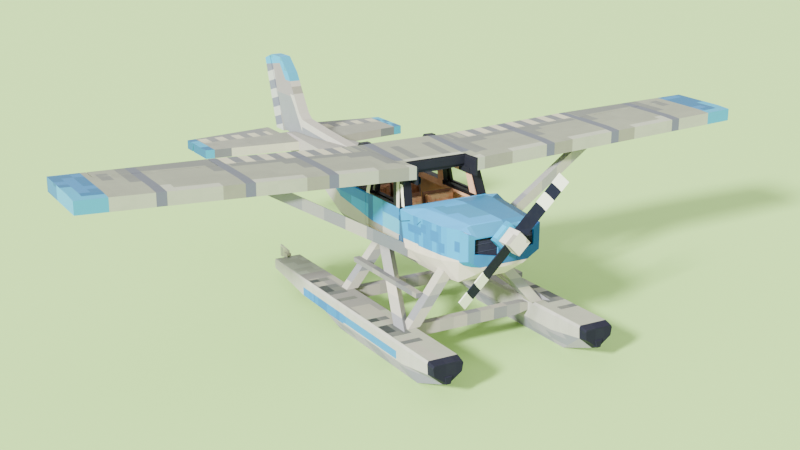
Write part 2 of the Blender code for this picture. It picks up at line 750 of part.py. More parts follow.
def make_propeller():
    pivot = (0, aft(PROP_Y), PROP_Z)
    square_block("propeller_hub", HUB_HALF, HUB_FRONT, HUB_REAR - GAP, white(), pivot)
    square_block("propeller_backplate", PLATE_HALF, HUB_REAR, PROP_BACK, blue(), pivot)
    make_blade("propeller_blade_a", 1, pivot)
    make_blade("propeller_blade_b", -1, pivot)


# Floats: station, keel height, chine half width and height, side half width and
# height, deck half width
FLOAT_STATIONS = [
    (-1.935, 0.235, 0.235, 0.430, 0.245, 0.585, 0.228),
    (-1.280, 0.000, 0.250, 0.340, 0.252, 0.585, 0.230),
    (FLOAT_STEP, 0.000, 0.250, 0.330, 0.252, 0.585, 0.230),
    (FLOAT_STEP + 0.001, 0.105, 0.250, 0.340, 0.252, 0.585, 0.230),
    (1.820, 0.125, 0.245, 0.345, 0.248, 0.585, 0.228),
    (FLOAT_STERN, 0.215, 0.228, 0.470, 0.230, 0.585, 0.222),
]
BUMPER = [                   # the same columns for the bow's rubber
    (-1.935, 0.235, 0.235, 0.430, 0.245, 0.585, 0.228),
    (-2.075, 0.290, 0.215, 0.440, 0.235, 0.560, 0.215),
]
BUMPER_NOSE = -2.090


def float_loop(row, x_mid, deck_drop=0.0):
    station, keel, xc, zc, xs, zs, xd = row
    y = aft(station)
    half = [(0.0, keel), (xc, zc), (xs, zs), (xd, DECK_Z - deck_drop)]
    right = [(x_mid + x, y, z) for x, z in half]
    left = [(x_mid - x, y, z) for x, z in reversed(half[1:])]
    return right + left


WATER_HINGE = (2.962, 0.66)  # station and height of the water rudder's pin
LUG_IN, LUG_OUT = 0.0225, 0.0375
PAD_X = (1.18, 1.485)        # the deck's tread pads
PAD_RISE = 0.004
PADS = [(-1.29, -1.18), (-0.975, -0.55), (-0.36, -0.235), (0.61, 0.725), (0.93, 1.345), (1.545, 1.67)]


def make_float(name, side):
    """A float with its step, its tread pads, and two lugs at the stern for the water rudder."""
    x = side * FLOAT_X
    obj = loft(name, [float_loop(r, x) for r in FLOAT_STATIONS], white())
    p0, p1 = sorted(side * v for v in PAD_X)
    for start, end in PADS:
        join_box(obj, (p0, aft(start), DECK_Z - 0.02), (p1, aft(end), DECK_Z + PAD_RISE))
    cut(obj, strut_block("cutter", DIAGONAL, side, GAP))
    for hand in (-1, 1):
        x0, x1 = sorted((x + hand * LUG_IN, x + hand * LUG_OUT))
        join_box(obj, (x0, aft(2.86), 0.60), (x1, aft(WATER_HINGE[0] + 0.03), WATER_HINGE[1] + 0.03))
    return obj


def make_bumper(name, side):
    """The rubber block on the bow, with its keel nose."""
    x = side * FLOAT_X
    rear, front = BUMPER
    rear = (rear[0] - GAP,) + rear[1:]
    obj = loft(name, [float_loop(rear, x), float_loop(front, x, 0.03)], rubber())
    nose = []
    for s, half, z0, z1 in ((-2.03, 0.085, 0.29, 0.44), (BUMPER_NOSE, 0.055, 0.300, 0.40)):
        nose.append([(x - half, aft(s), z1), (x + half, aft(s), z1),
                     (x + half * 0.6, aft(s), z0), (x - half * 0.6, aft(s), z0)])
    join(obj, loft("adder", nose, rubber()))
    return obj


# Float struts: foot and top of each bar's centre line, and its width and depth
FRONT_STRUT = ((1.060, -0.760, DECK_Z), (0.466, -0.685, 1.32), (0.15, 0.17))
REAR_STRUT = ((1.060, 1.100, DECK_Z), (0.510, 1.07, 1.32), (0.15, 0.17))
DIAGONAL = ((1.170, -0.660, DECK_Z), (0.480, 1.02, 1.34), (0.13, 0.16))
STEP_BAR = ((0.82, 0.92), (-0.66, 1.22), (0.985, 1.06))   # ranges of x, station and z


def strut_block(name, table, side, grow=0.0):
    """A bar from the float's deck to inside the body."""
    foot, top, size = table
    a = (side * foot[0], aft(foot[1]), foot[2])
    b = (side * top[0], aft(top[1]), top[2])
    deck = (0, 0, DECK_Z + GAP - grow), (0, 0, 1)
    inside = (0, 0, 1.36), (0, 0, 1)
    return bar(name, a, b, deck, inside, [v + 2 * grow for v in size], white())


def trim_to_body(obj):
    """Cut a strut's end back to the skin of the cowl and the cabin."""
    y0, y1 = aft(CABIN_START) - GAP, aft(CABIN_END) + GAP
    cabin = [cabin_section(y, -GAP) for y in (y0, y1)]
    cut(obj, loft("cutter", cabin, charcoal()))
    return cut(obj, grown_body(COWL_STATIONS))


def make_float_struts(label, side):
    """Three bars that carry the body on one float, and the boarding step across them."""
    trim_to_body(strut_block("front_strut_" + label, FRONT_STRUT, side))
    trim_to_body(strut_block("rear_strut_" + label, REAR_STRUT, side))
    brace = strut_block("diagonal_strut_" + label, DIAGONAL, side)
    trim_to_body(brace)
    (x0, x1), (s0, s1), (z0, z1) = STEP_BAR
    x0, x1 = sorted((side * x0, side * x1))
    step = box("step_bar_" + label, (x0, aft(s0), z0), (x1, aft(s1), z1), white())
    for table in (FRONT_STRUT, REAR_STRUT):
        cut(brace, strut_block("cutter", table, side, GAP))
        cut(step, strut_block("cutter", table, side, GAP))
    cut(step, strut_block("cutter", DIAGONAL, side, GAP))


SPREADERS = [("spreader_bar_front", -0.70, -0.57), ("spreader_bar_rear", 1.08, 1.21)]


def make_spreaders():
    """The two bars between the floats, tapered at their ends."""
    inner = FLOAT_X - 0.252 - GAP
    for name, s0, s1 in SPREADERS:
        outline = [(-inner, 0.46), (-inner + 0.22, 0.42), (inner - 0.22, 0.42), (inner, 0.46),
                   (inner, 0.58), (inner - 0.10, 0.60), (-inner + 0.10, 0.60), (-inner, 0.58)]
        loft(name, [[(x, aft(s), z) for x, z in outline] for s in (s0, s1)], white())


WATER_RUDDER = [(2.868, 0.647), (3.167, 0.550), (3.172, 0.768), (2.862, 0.744)]


def make_water_rudder(name, side):
    """The float's water rudder, drawn up, with the round hub on its pin."""
    x = side * FLOAT_X
    half = 0.0125
    pivot = (x, aft(WATER_HINGE[0]), WATER_HINGE[1])
    loops = [[(xx, aft(s), z) for s, z in WATER_RUDDER] for xx in (x - half, x + half)]
    obj = loft(name, loops, grey(), pivot)
    hub = [(x + hand * (LUG_IN - GAP), pivot[1], pivot[2]) for hand in (-1, 1)]
    return join(obj, tube("adder", *hub, 0.028, grey(), 16))


# Doors
PANEL = 0.05
DOOR_LEAN = 0.135            # the frame's front edge leans aft with the windscreen post


def make_door(name, side):
    """A door: lower panel and window frame, with two outside hinge knuckles."""
    y0, y1 = DOOR_START, DOOR_END
    hinge = (side * (SIDE_X + 0.002), aft(y0), DOOR_LOW)
    head = 0.673
    section = []
    for z, x, s0 in ((DOOR_LOW, SIDE_X, y0), (BELT_Z, SIDE_X, y0), (FRAME_TOP, head, y0 + DOOR_LEAN)):
        corners = [(x - PANEL, s0), (x, s0), (x, y1), (x - PANEL, y1)]
        section.append([(side * xx, aft(s), z) for xx, s in corners])
    obj = loft(name, section, blue(), hinge)
    window = []
    for z, s0 in ((BELT_Z + 0.03, 0.275), (FRAME_TOP - 0.05, 0.275 + DOOR_LEAN)):
        corners = [(0.5, s0), (0.9, s0), (0.9, y1 - 0.10), (0.5, y1 - 0.10)]
        window.append([(side * xx, aft(s), z) for xx, s in corners])
    cut(obj, loft("cutter", window, charcoal()))
    for z in (1.66, 1.96):
        x, y, _ = hinge
        join(obj, tube("adder", (x, y, z - 0.04), (x, y, z + 0.04), DOOR_KNUCKLE, charcoal()))
    return obj


def clear_scene():
    for obj in list(bpy.data.objects):
        bpy.data.objects.remove(obj)


def build():
    clear_scene()
    make_cowl()
    make_engine()
    make_firewall()
    make_instrument_panel()
    make_cabin_shell()
    make_cabin_frame()
    make_tailcone()
    make_seats()
    make_wing_centre()
    for label, side in SIDES:
        make_wing_panel("wing_" + label, side)
        make_flap("flap_" + label, side)
        make_aileron("aileron_" + label, side)
        make_wing_strut("wing_strut_" + label, side)
        make_float("float_" + label, side)
        make_bumper("bow_bumper_" + label, side)
        make_float_struts(label, side)
        make_water_rudder("water_rudder_" + label, side)
        make_door("door_" + label, side)
    make_spreaders()
    make_fin()
    make_rudder()
    make_stabiliser()
    make_elevator()
    make_propeller()


build()
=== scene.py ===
import math

import bmesh
import bpy
from mathutils import Matrix, Vector
from mathutils.bvhtree import BVHTree


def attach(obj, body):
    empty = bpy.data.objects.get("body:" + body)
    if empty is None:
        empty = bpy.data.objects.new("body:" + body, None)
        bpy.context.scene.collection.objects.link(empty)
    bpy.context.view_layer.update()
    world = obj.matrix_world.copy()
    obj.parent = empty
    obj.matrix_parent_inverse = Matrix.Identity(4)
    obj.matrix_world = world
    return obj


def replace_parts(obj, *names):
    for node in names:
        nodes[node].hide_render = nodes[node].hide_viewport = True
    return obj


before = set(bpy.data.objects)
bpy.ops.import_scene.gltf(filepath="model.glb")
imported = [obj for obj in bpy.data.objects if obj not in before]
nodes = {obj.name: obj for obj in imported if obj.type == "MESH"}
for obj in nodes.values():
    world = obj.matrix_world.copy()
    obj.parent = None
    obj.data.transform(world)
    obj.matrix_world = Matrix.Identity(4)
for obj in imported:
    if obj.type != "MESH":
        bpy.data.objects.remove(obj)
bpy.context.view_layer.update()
scene = bpy.context.scene

SIDES = ("port", "starboard")

# Places are in metres: across from the middle plane, station aft from the wing's leading edge, height
STATION_ZERO = -2.058
FAR = 9.0                    # beyond the end of any piece
PROP_Z = 1.985
BODY_AXIS_Z = 1.87

# Blocks of tone in the paint: across, along, up
BLOCK = 0.156
SMALL = (BLOCK, BLOCK, BLOCK)
POSTS = (BLOCK, BLOCK * 0.66, BLOCK * 6)

# Rivets and seams of the sheet metal
RIB_SPACING = 0.312
RIVET_PITCH = 0.026
RIVET_RADIUS = 0.0042
SEAM_SHIFT = 0.56            # share of a bay from the rib to the seam
SEAM_CORE, SEAM_EDGE = 0.0008, 0.0022
SKIN_RELIEF = 0.0009
SQUARE_ON = 0.72             # share of the normal past which a face lies square to an axis

# Light that falls on the paints, against a plain white sky
LIGHT = 3.0                  # on the wing tops
SIDE_LIGHT = 3.8             # on the starboard sides
INSIDE_LIGHT = 1.1           # on the walls and seats of the cabin
SHINE = 0.3                  # how strongly the paints mirror, next to bare plastic's 0.5
DULL_SHINE = 0.12            # and the dark blades and bumpers

# How the view flattens colours, undone: the spread of the channels, then a lift by brightness
SPREAD_BEFORE, SPREAD_AFTER = 0.298, 3.166
LIFT = (-0.552, 2.573, 0.879)
DARKEST, LIGHTEST = 0.004, 0.9

# Colours as they show on a screen, 0 to 255
OFF_WHITE = (216, 213, 210)
STAIN = (150, 148, 132)
CHARCOAL = (29, 31, 45)
DARK = (26, 28, 34)
RECESS, RECESS_DEEP = (49, 51, 66), (46, 48, 64)

WING_GREY, WING_LIGHT, WING_DULL = (183, 186, 171), (199, 201, 191), (184, 184, 173)
SLATE, SLATE_FRONT = (146, 152, 160), (156, 158, 174)
GREEN_GREY = (162, 166, 157)
TILE_LIGHT, TILE_GREY = (206, 205, 193), (158, 162, 162)
TIP_BLUE, TIP_BLOCK, TIP_TEAL, TIP_END = (88, 157, 194), (118, 172, 206), (140, 195, 212), (150, 196, 216)

TAIL_GREY, TAIL_TILE = (183, 184, 173), (170, 172, 168)
TAIL_FRONT, TAIL_FRONT_FIN_SHADE, TAIL_BAND = (208, 207, 198), (194, 190, 186), (162, 163, 166)
FIN_GREY, FIN_UPPER, FIN_STRIP = (180, 183, 186), (190, 186, 187), (208, 207, 203)
FIN_FRONT, FIN_BAND = (201, 199, 193), (184, 182, 172)
RUDDER_LIGHT, RUDDER_GREY = (206, 207, 205), (168, 170, 184)
CAP_BLUE, CAP_TEAL = (151, 199, 220), (142, 193, 209)

BODY_WHITE, SPINE_GREY = (220, 216, 212), (184, 183, 177)
LOWER_WHITE, LOWER_WING_SHADE = (207, 204, 203), (184, 179, 178)
UNDER_NOSE, UNDER_GREY = (226, 222, 221), (188, 185, 190)
BODY_BLUE, BODY_FORE, BODY_POST = (136, 186, 221), (154, 201, 226), (150, 198, 226)
BODY_MID, BODY_MID_FOOT = (104, 157, 197), (122, 162, 196)
SIDE_WING_SHADE, SIDE_TEAL = (104, 160, 220), (124, 175, 224)
SIDE_PALE, SIDE_CHALK = (156, 198, 230), (167, 206, 222)
COWL_DARK_LINE = (60, 104, 140)
COWL_TOP, COWL_SHOULDER_SHADE = (153, 196, 222), (58, 134, 180)
COWL_DULL, COWL_TOP_DULL, COWL_TOP_SHADE = (129, 179, 218), (133, 185, 209), (115, 171, 202)
NOSE_FACE, NOSE_MID_SHADE, NOSE_PORT_SHADE = (128, 178, 213), (88, 150, 200), (45, 130, 198)
NOSE_CORNER, NOSE_BROW = (132, 184, 210), (134, 188, 214)
METAL_LINING = (185, 185, 200)

TAN, POST_TAN, PEACH = (208, 180, 154), (184, 156, 130), (204, 182, 165)
FRAME_PALE, POST_PALE = (196, 196, 186), (196, 193, 184)
SEAT_TAN, SEAT_WORN = (200, 172, 148), (188, 158, 132)
SEAT_LIGHT, SEAT_REAR_SHADE = (208, 182, 160), (162, 120, 92)

FLOAT_WHITE, CHINE, CHINE_BLOCK = (210, 209, 206), (198, 192, 204), (186, 182, 198)
DECK_FORE, DECK_MID, DECK_BLOCK = (195, 196, 186), (182, 180, 176), (196, 194, 186)
DECK_AFT, DECK_AFT_BLOCK, STERN_LIGHT = (195, 199, 189), (186, 190, 179), (214, 213, 206)
PAD, PAD_BLOCK, PAD_DARK = (148, 152, 147), (160, 162, 153), (94, 102, 100)
STRIPE, STRIPE_AFT = (144, 192, 222), (144, 189, 225)
STRIPE_MID, STRIPE_POST = (127, 177, 218), (136, 186, 222)

STRUT, STRUT_BAND = (208, 206, 201), (198, 197, 196)
STRUT_DARK, STRUT_LIGHT = (187, 187, 190), (213, 210, 205)
STRUT_ROOT, STRUT_SHADE = (178, 181, 185), (126, 134, 136)
BLADE_DARK, BLADE_WHITE, BLADE_STAIN = (53, 57, 85), (222, 222, 218), (120, 118, 112)
FLOOR_GREEN = (205, 221, 187)


def linear(colour, light=LIGHT):
    """Paint that shows as the given screen colour, once the view has flattened it."""
    shown = []
    for value in colour:
        v = value / 255
        shown.append(v / 12.92 if v <= 0.04045 else ((v + 0.055) / 1.055) ** 2.4)
    mean = sum(shown) / 3
    lifted = []
    for v in shown:
        v = mean + (v - mean) * SPREAD_BEFORE
        lifted.append(v * math.exp(sum(k * v ** (i + 1) for i, k in enumerate(LIFT))))
    mean = sum(lifted) / 3
    paint = [mean + (v - mean) * SPREAD_AFTER for v in lifted]
    return (*[min(LIGHTEST, max(DARKEST, v / light)) for v in paint], 1.0)


class Finish:
    """A finish built from nodes: painted regions, blocks of tone, fine grain in gloss and relief."""

    def __init__(self, name, base, light=LIGHT):
        self.light = light
        self.mat = bpy.data.materials.new(name)
        self.mat.use_nodes = True
        self.tree = self.mat.node_tree
        self.tree.nodes.clear()
        self.shader = self.add("ShaderNodeBsdfPrincipled")
        out = self.add("ShaderNodeOutputMaterial")
        self.tree.links.new(self.shader.outputs["BSDF"], out.inputs["Surface"])
        coords = self.add("ShaderNodeTexCoord")
        self.place = coords.outputs["Object"]
        self.x, y, self.z = self.split(self.place)
        self.s = self.math("SUBTRACT", y, STATION_ZERO)
        self.ax = self.math("ABSOLUTE", self.x)
        self.nx, self.ny, self.nz = self.split(coords.outputs["Normal"])
        self.aside = self.math("ABSOLUTE", self.nx)
        self.outward = self.math("MULTIPLY", self.nx, self.math("SIGN", self.x))
        plain = self.add("ShaderNodeRGB")
        plain.outputs[0].default_value = linear(base, light)
        self.colour = plain.outputs[0]

    def add(self, kind, **settings):
        node = self.tree.nodes.new(kind)
        for key, value in settings.items():
            setattr(node, key, value)
        return node

    def feed(self, socket, value):
        if isinstance(value, bpy.types.NodeSocket):
            self.tree.links.new(value, socket)
        else:
            socket.default_value = value

    def math(self, operation, *values):
        node = self.add("ShaderNodeMath", operation=operation)
        for socket, value in zip(node.inputs, values):
            self.feed(socket, value)
        return node.outputs[0]

    def split(self, socket):
        node = self.add("ShaderNodeSeparateXYZ")
        self.feed(node.inputs[0], socket)
        return node.outputs

    def joined(self, x, y, z):
        node = self.add("ShaderNodeCombineXYZ")
        for socket, value in zip(node.inputs, (x, y, z)):
            self.feed(socket, value)
        return node.outputs[0]

    def above(self, value, limit):
        return self.math("GREATER_THAN", value, limit)

    def below(self, value, limit):
        return self.math("LESS_THAN", value, limit)

    def between(self, value, low, high):
        return self.math("COMPARE", value, (low + high) / 2, (high - low) / 2)

    def either(self, *masks):
        mask = masks[0]
        for other in masks[1:]:
            mask = self.math("MAXIMUM", mask, other)
        return mask

    def all(self, *masks):
        mask = masks[0]
        for other in masks[1:]:
            mask = self.math("MULTIPLY", mask, other)
        return mask

    def ranges(self, value, rows):
        return self.either(*[self.between(value, low, high) for low, high in rows])

    def faces(self, way, share=0.5):
        """One where the surface looks that way with more than a share of its normal."""
        slope, sign = {
            "fore": (self.ny, -1), "aft": (self.ny, 1), "up": (self.nz, 1), "down": (self.nz, -1),
            "port": (self.nx, 1), "aside": (self.aside, 1),
            "out": (self.outward, 1), "in": (self.outward, -1)}[way]
        return self.above(slope, share) if sign > 0 else self.below(slope, -share)

    def drop(self, s0, z0, s1, z1):
        """How far each point lies below a straight line through two stations and heights."""
        slope = (z1 - z0) / (s1 - s0)
        line = self.math("MULTIPLY_ADD", self.s, slope, z0 - slope * s0)
        return self.math("SUBTRACT", line, self.z)

    def leaning(self, lean):
        """The station less what a line that leans aft gains with height."""
        return self.math("MULTIPLY_ADD", self.z, -lean, self.s)

    def tiles(self, outer, pitch):
        """One on every second tile, counted inwards from an outer edge."""
        part = self.math("FRACT", self.math("MULTIPLY_ADD", self.ax, -1 / pitch, outer / pitch))
        return self.below(part, 0.5)

    def ramp(self, value, low, high, start=0.0, end=1.0):
        node = self.add("ShaderNodeMapRange")
        for socket, number in zip(node.inputs, (value, start, end, low, high)):
            self.feed(socket, number)
        return node.outputs[0]

    def choose(self, mask, first, second):
        """The first value where the mask is zero, the second where it is one."""
        node = self.add("ShaderNodeMix", data_type="FLOAT")
        self.feed(node.inputs[0], mask)
        self.feed(node.inputs[2], first)
        self.feed(node.inputs[3], second)
        return node.outputs[0]

    def paint(self, colour, *masks, light=None):
        """Lay a colour over what is there, where every mask is one."""
        mix = self.add("ShaderNodeMix", data_type="RGBA")
        self.feed(mix.inputs["Factor"], self.all(*masks))
        self.feed(mix.inputs[6], self.colour)
        self.feed(mix.inputs[7], linear(colour, light or self.light))
        self.colour = mix.outputs[2]

    def patches(self, colour, first, second, rows, *masks, light=None):
        """Rectangles of one colour: each row is first from, to, second from, to."""
        spots = []
        for a0, a1, b0, b1 in rows:
            spots.append(self.all(self.between(first, a0, a1), self.between(second, b0, b1)))
        self.paint(colour, self.either(*spots), *masks, light=light)

    def blocks(self, seed, size=SMALL):
        """A random value for each block of the paint, the same all through the panel."""
        cells = []
        for value, slope, length in zip((self.x, self.s, self.z), (self.nx, self.ny, self.nz), size):
            lies = self.below(self.math("ABSOLUTE", slope), SQUARE_ON)
            step = self.math("FLOOR", self.math("MULTIPLY_ADD", value, 1 / length, 0.31 + seed))
            cells.append(self.math("MULTIPLY", step, lies))
        noise = self.add("ShaderNodeTexWhiteNoise", noise_dimensions="3D")
        self.feed(noise.inputs["Vector"], self.joined(*cells))
        return noise.outputs["Value"]

    def tone(self, value, low, high):
        """Make the colour darker or lighter by a value from 0 to 1."""
        node = self.add("ShaderNodeVectorMath", operation="SCALE")
        self.feed(node.inputs[0], self.colour)
        self.feed(node.inputs["Scale"], self.ramp(value, low, high))
        self.colour = node.outputs[0]

    def noise(self, scale, detail=3.0, rough=0.55):
        node = self.add("ShaderNodeTexNoise")
        self.feed(node.inputs["Vector"], self.place)
        self.feed(node.inputs["Scale"], scale)
        self.feed(node.inputs["Detail"], detail)
        self.feed(node.inputs["Roughness"], rough)
        return node.outputs[0]

    def dirt(self, colour, amount, scale=2.3):
        """Faint stains that gather in patches."""
        stain = self.ramp(self.noise(scale, 6.0, 0.65), 0.0, amount, 0.52, 0.80)
        self.paint(colour, stain)

    def lines(self, value, spacing, shift=0.5):
        """How far each point lies from the nearest of many parallel lines."""
        part = self.math("FRACT", self.math("MULTIPLY_ADD", value, 1 / spacing, shift))
        return self.math("MULTIPLY", self.math("ABSOLUTE", self.math("SUBTRACT", part, 0.5)), spacing)

    def distance(self, first, second):
        squares = [self.math("MULTIPLY", v, v) for v in (first, second)]
        return self.math("SQRT", self.math("ADD", *squares))

    def skin(self):
        """Sheet metal in relief: rivets along each rib and stringer, a seam beside each second one."""
        along = self.choose(self.faces("aside", SQUARE_ON), self.x, self.s)
        level = self.above(self.math("ABSOLUTE", self.nz), SQUARE_ON)
        other = self.choose(level, self.z, self.s)
        heads = []
        for rib, run in ((along, other), (other, along)):
            reach = self.distance(self.lines(rib, RIB_SPACING), self.lines(run, RIVET_PITCH))
            heads.append(self.ramp(reach, 1.0, 0.0, RIVET_RADIUS * 0.4, RIVET_RADIUS))
        seams = self.lines(along, RIB_SPACING * 2, SEAM_SHIFT)
        seam = self.ramp(seams, 1.0, 0.0, SEAM_CORE, SEAM_EDGE)
        grain = self.math("MULTIPLY", self.noise(160.0, 2.0), 0.12)
        return self.math("ADD", self.math("SUBTRACT", self.either(*heads), seam), grain)

    def done(self, gloss=(0.46, 0.60), grain=90.0, relief=0.0006, height=None, **sockets):
        """Finish with the colour, a roughness that varies, and a fine relief."""
        self.feed(self.shader.inputs["Base Color"], self.colour)
        fine = self.noise(grain, 3.0)
        rough = self.ramp(fine, gloss[0], gloss[1], 0.3, 0.7)
        self.feed(self.shader.inputs["Roughness"], rough)
        bump = self.add("ShaderNodeBump")
        bump.inputs["Strength"].default_value = 0.6
        bump.inputs["Distance"].default_value = relief
        self.feed(bump.inputs["Height"], fine if height is None else height)
        self.feed(self.shader.inputs["Normal"], bump.outputs[0])
        self.shader.inputs["Specular IOR Level"].default_value = SHINE
        for key, value in sockets.items():
            self.shader.inputs[key.replace("_", " ")].default_value = value
        return self.mat

    def sheet(self):
        """Finish as riveted sheet metal."""
        return self.done(height=self.skin(), relief=SKIN_RELIEF)


# The wing's paint: across from, to
RIB_BANDS = ((4.275, 4.424), (3.03, 3.18), (1.78, 1.93))
INNER_RIB, INNER_RIB_START = (0.50, 0.65), 0.42
DULL_FRONTS = ((3.18, 3.50), (1.93, 2.27), (0.65, 1.15))
WING_TILES, WING_TILE_START, WING_TILE_PITCH = (1.0, 3.03), 1.03, 0.3085
WING_TIP, TIP_OUTER = 5.047, 5.35
TIP_FORE, TIP_MIDDLE, TIP_REAR = 0.14, 0.6, 0.75
RECESS_HALF, RECESS_FRONT, RECESS_REAR = 0.535, 0.2, 0.36
# Across from, to, station from, to
GREEN_PATCHES = (
    (1.00, 3.00, 0.88, 1.03), (3.18, 3.34, 0.70, 1.39), (1.93, 2.25, 0.75, 1.00), (1.93, 2.09, 0.45, 0.75),
    (0.65, 0.87, 0.25, 1.39), (0.87, 1.20, 0.75, 1.03), (3.34, 4.28, 1.05, 1.39), (4.73, 4.89, 0.75, 1.10),
    (4.42, 4.58, 0.55, 1.30), (0.20, 0.35, 0.45, 1.10))
LIGHT_PATCHES = (
    (3.50, 4.28, -0.2, 0.14), (4.13, 4.28, 0.14, 0.28), (2.27, 3.03, -0.2, 0.14),
    (1.15, 1.78, -0.2, 0.14), (0.50, 0.65, -0.2, 0.14), (0.00, 0.50, 0.30, 0.45))


def wing_finish():
    """Warm grey bays between slate rib bands, light tiles at the trailing edge, blue tips."""
    f = Finish("wing_paint", WING_GREY)
    front = f.faces("fore")
    top = f.all(f.faces("up", 0.3), f.below(f.ax, WING_TIP))
    small = f.blocks(7)
    f.tone(f.blocks(3, (BLOCK * 5, BLOCK * 2, BLOCK)), 0.95, 1.04)
    f.paint(OFF_WHITE, f.faces("down", 0.3))
    f.patches(GREEN_GREY, f.ax, f.s, GREEN_PATCHES, top)
    f.patches(WING_LIGHT, f.ax, f.s, LIGHT_PATCHES, top)
    rear = f.all(top, f.above(f.s, WING_TILE_START), f.between(f.ax, *WING_TILES))
    f.paint(TILE_GREY, rear)
    f.paint(TILE_LIGHT, rear, f.tiles(WING_TILES[1], WING_TILE_PITCH))
    f.paint(WING_LIGHT, front)
    f.paint(WING_DULL, front, f.ranges(f.ax, DULL_FRONTS))
    f.tone(small, 0.975, 1.02)
    ribs = f.ranges(f.ax, RIB_BANDS)
    f.paint(SLATE, ribs)
    f.paint(SLATE, f.between(f.ax, *INNER_RIB), f.above(f.s, INNER_RIB_START))
    f.paint(SLATE_FRONT, front, ribs)
    tip = f.above(f.ax, WING_TIP)
    f.paint(TIP_BLUE, tip)
    f.paint(TIP_BLOCK, tip, f.above(small, 0.55))
    corner = f.all(f.above(f.ax, TIP_OUTER), f.below(f.s, TIP_MIDDLE))
    f.paint(TIP_TEAL, tip, f.either(front, f.below(f.s, TIP_FORE), corner))
    f.paint(TIP_END, tip, f.faces("aside", 0.6), f.below(f.s, TIP_REAR))
    # the recess over the windscreen
    wall = f.either(f.all(front, f.above(f.s, RECESS_FRONT)), f.faces("aside", 0.6))
    recess = f.all(wall, f.below(f.ax, RECESS_HALF), f.below(f.s, RECESS_REAR))
    f.paint(RECESS, recess)
    f.paint(RECESS_DEEP, recess, f.above(small, 0.55))
    f.dirt(STAIN, 0.16)
    return f.sheet()


# The tailplane's paint: across from, to, and stations
TAIL_TILES, TAIL_TILE_STATIONS, TAIL_TILE_PITCH = (0.42, 1.75), (5.22, 5.52), 0.311
TAIL_DARK_FRONT, TAIL_TIP = (1.47, 1.77), 1.77


def tail_finish():
    """The tailplane: warm grey, light tiles near the trailing edge, blue tips."""
    f = Finish("tail_paint", TAIL_GREY)
    front = f.faces("fore")
    f.tone(f.blocks(5, (BLOCK * 3, BLOCK, BLOCK)), 0.94, 1.04)
    f.paint(OFF_WHITE, f.faces("down", 0.3))
    tile_start, tile_end = TAIL_TILE_STATIONS
    rear = f.all(f.faces("up", 0.3), f.above(f.s, tile_start), f.between(f.ax, *TAIL_TILES))
    f.paint(TAIL_TILE, rear)
    f.paint(TILE_LIGHT, rear, f.tiles(TAIL_TILES[1], TAIL_TILE_PITCH), f.below(f.s, tile_end))
    f.paint(TAIL_FRONT, front)
    # painted shade: the fin's shadow, darker on the port tailplane's leading edge
    f.paint(TAIL_FRONT_FIN_SHADE, front, f.above(f.x, 0.0))
    f.paint(TAIL_BAND, front, f.between(f.ax, *TAIL_DARK_FRONT))
    f.tone(f.blocks(11), 0.975, 1.02)
    tip = f.above(f.ax, TAIL_TIP)
    f.paint(TIP_BLUE, tip)
    f.paint(TIP_TEAL, tip, f.either(front, f.above(f.blocks(2), 0.6)))
    f.dirt(STAIN, 0.14)
    return f.sheet()


# The foot of the fin's front edge runs straight from point to point: station, height
FIN_KNEE_Z = 2.80
FIN_FOOT = ((3.00, 2.35), (4.70, 2.46), (4.96, FIN_KNEE_Z), (5.545, 3.48))
FIN_BAND_HEIGHTS = (2.86, 2.98)
STRIP_WIDTH, STRIP_TOP = 0.13, 2.84
RUDDER_LEAN, RUDDER_FRONT = 0.33, 4.79
TILE_TILT = 0.3              # how much the rudder's tiles fall for each metre aft
RUDDER_BANDS = ((3.890, 4.060), (4.237, 4.411), (4.581, 4.750), (4.933, 5.082))
CAP_TILT, CAP_START = 0.17, 4.286
CAP_STRIP_FOOT, CAP_STRIP_WIDTH, CAP_STRIP_FRONT = 3.07, 0.18, 0.4


def fin_finish():
    """The fin and rudder: grey sides, a light strip up the fillet, a blue cap, tiles on the rudder."""
    f = Finish("fin_paint", FIN_GREY, SIDE_LIGHT * 0.82)
    f.tone(f.blocks(4, (BLOCK, BLOCK * 2, BLOCK * 3)), 0.96, 1.05)
    f.paint(FIN_UPPER, f.above(f.z, FIN_KNEE_Z))
    low = f.below(f.z, STRIP_TOP)
    for (s0, z0), (s1, z1) in zip(FIN_FOOT, FIN_FOOT[1:]):
        drop = f.drop(s0, z0, s1, z1)
        width = STRIP_WIDTH * math.hypot(1, (z1 - z0) / (s1 - s0))
        f.paint(FIN_STRIP, f.between(f.s, s0, s1), f.below(drop, width), low)
    top = f.either(f.faces("up"), f.faces("fore"))
    f.paint(FIN_FRONT, top)
    f.paint(FIN_BAND, top, f.between(f.z, *FIN_BAND_HEIGHTS))
    # the rudder's tiles lie square to its sloping edge
    aft = f.above(f.leaning(RUDDER_LEAN), RUDDER_FRONT)
    level = f.math("MULTIPLY_ADD", f.s, TILE_TILT, f.z)
    f.paint(RUDDER_LIGHT, aft)
    f.paint(RUDDER_GREY, aft, f.ranges(level, RUDDER_BANDS))
    f.tone(f.blocks(9), 0.98, 1.02)
    # the blue cap runs down the front edge of the last run
    edge = f.either(f.below(drop, CAP_STRIP_WIDTH), f.all(top, f.below(drop, CAP_STRIP_FRONT)))
    high = f.above(f.math("MULTIPLY_ADD", f.s, CAP_TILT, f.z), CAP_START)
    cap = f.either(high, f.all(edge, f.above(f.z, CAP_STRIP_FOOT)))
    f.paint(CAP_BLUE, cap)
    f.paint(CAP_TEAL, cap, f.either(f.faces("fore", 0.4), f.above(f.blocks(1), 0.8)))
    f.dirt(STAIN, 0.12)
    return f.sheet()


# The fuselage's paint
NOSE_START, COWL_FORE, COWL_BAND, COWL_REAR = -1.4, -1.0, -0.06, 0.10
BAND_FOOT = (1.56, 1.705)
BELT_Z = 1.93
SPINE_START, PAINT_END = 2.42, 2.90
# The paint's lower edge: three levels, each fore of a station, then a line that rises aft
EDGE_LEVEL, EDGE_STEPS = 1.70, ((-0.42, 1.682), (-1.285, 1.605))
EDGE_RISE, EDGE_START = 0.133, 1.572
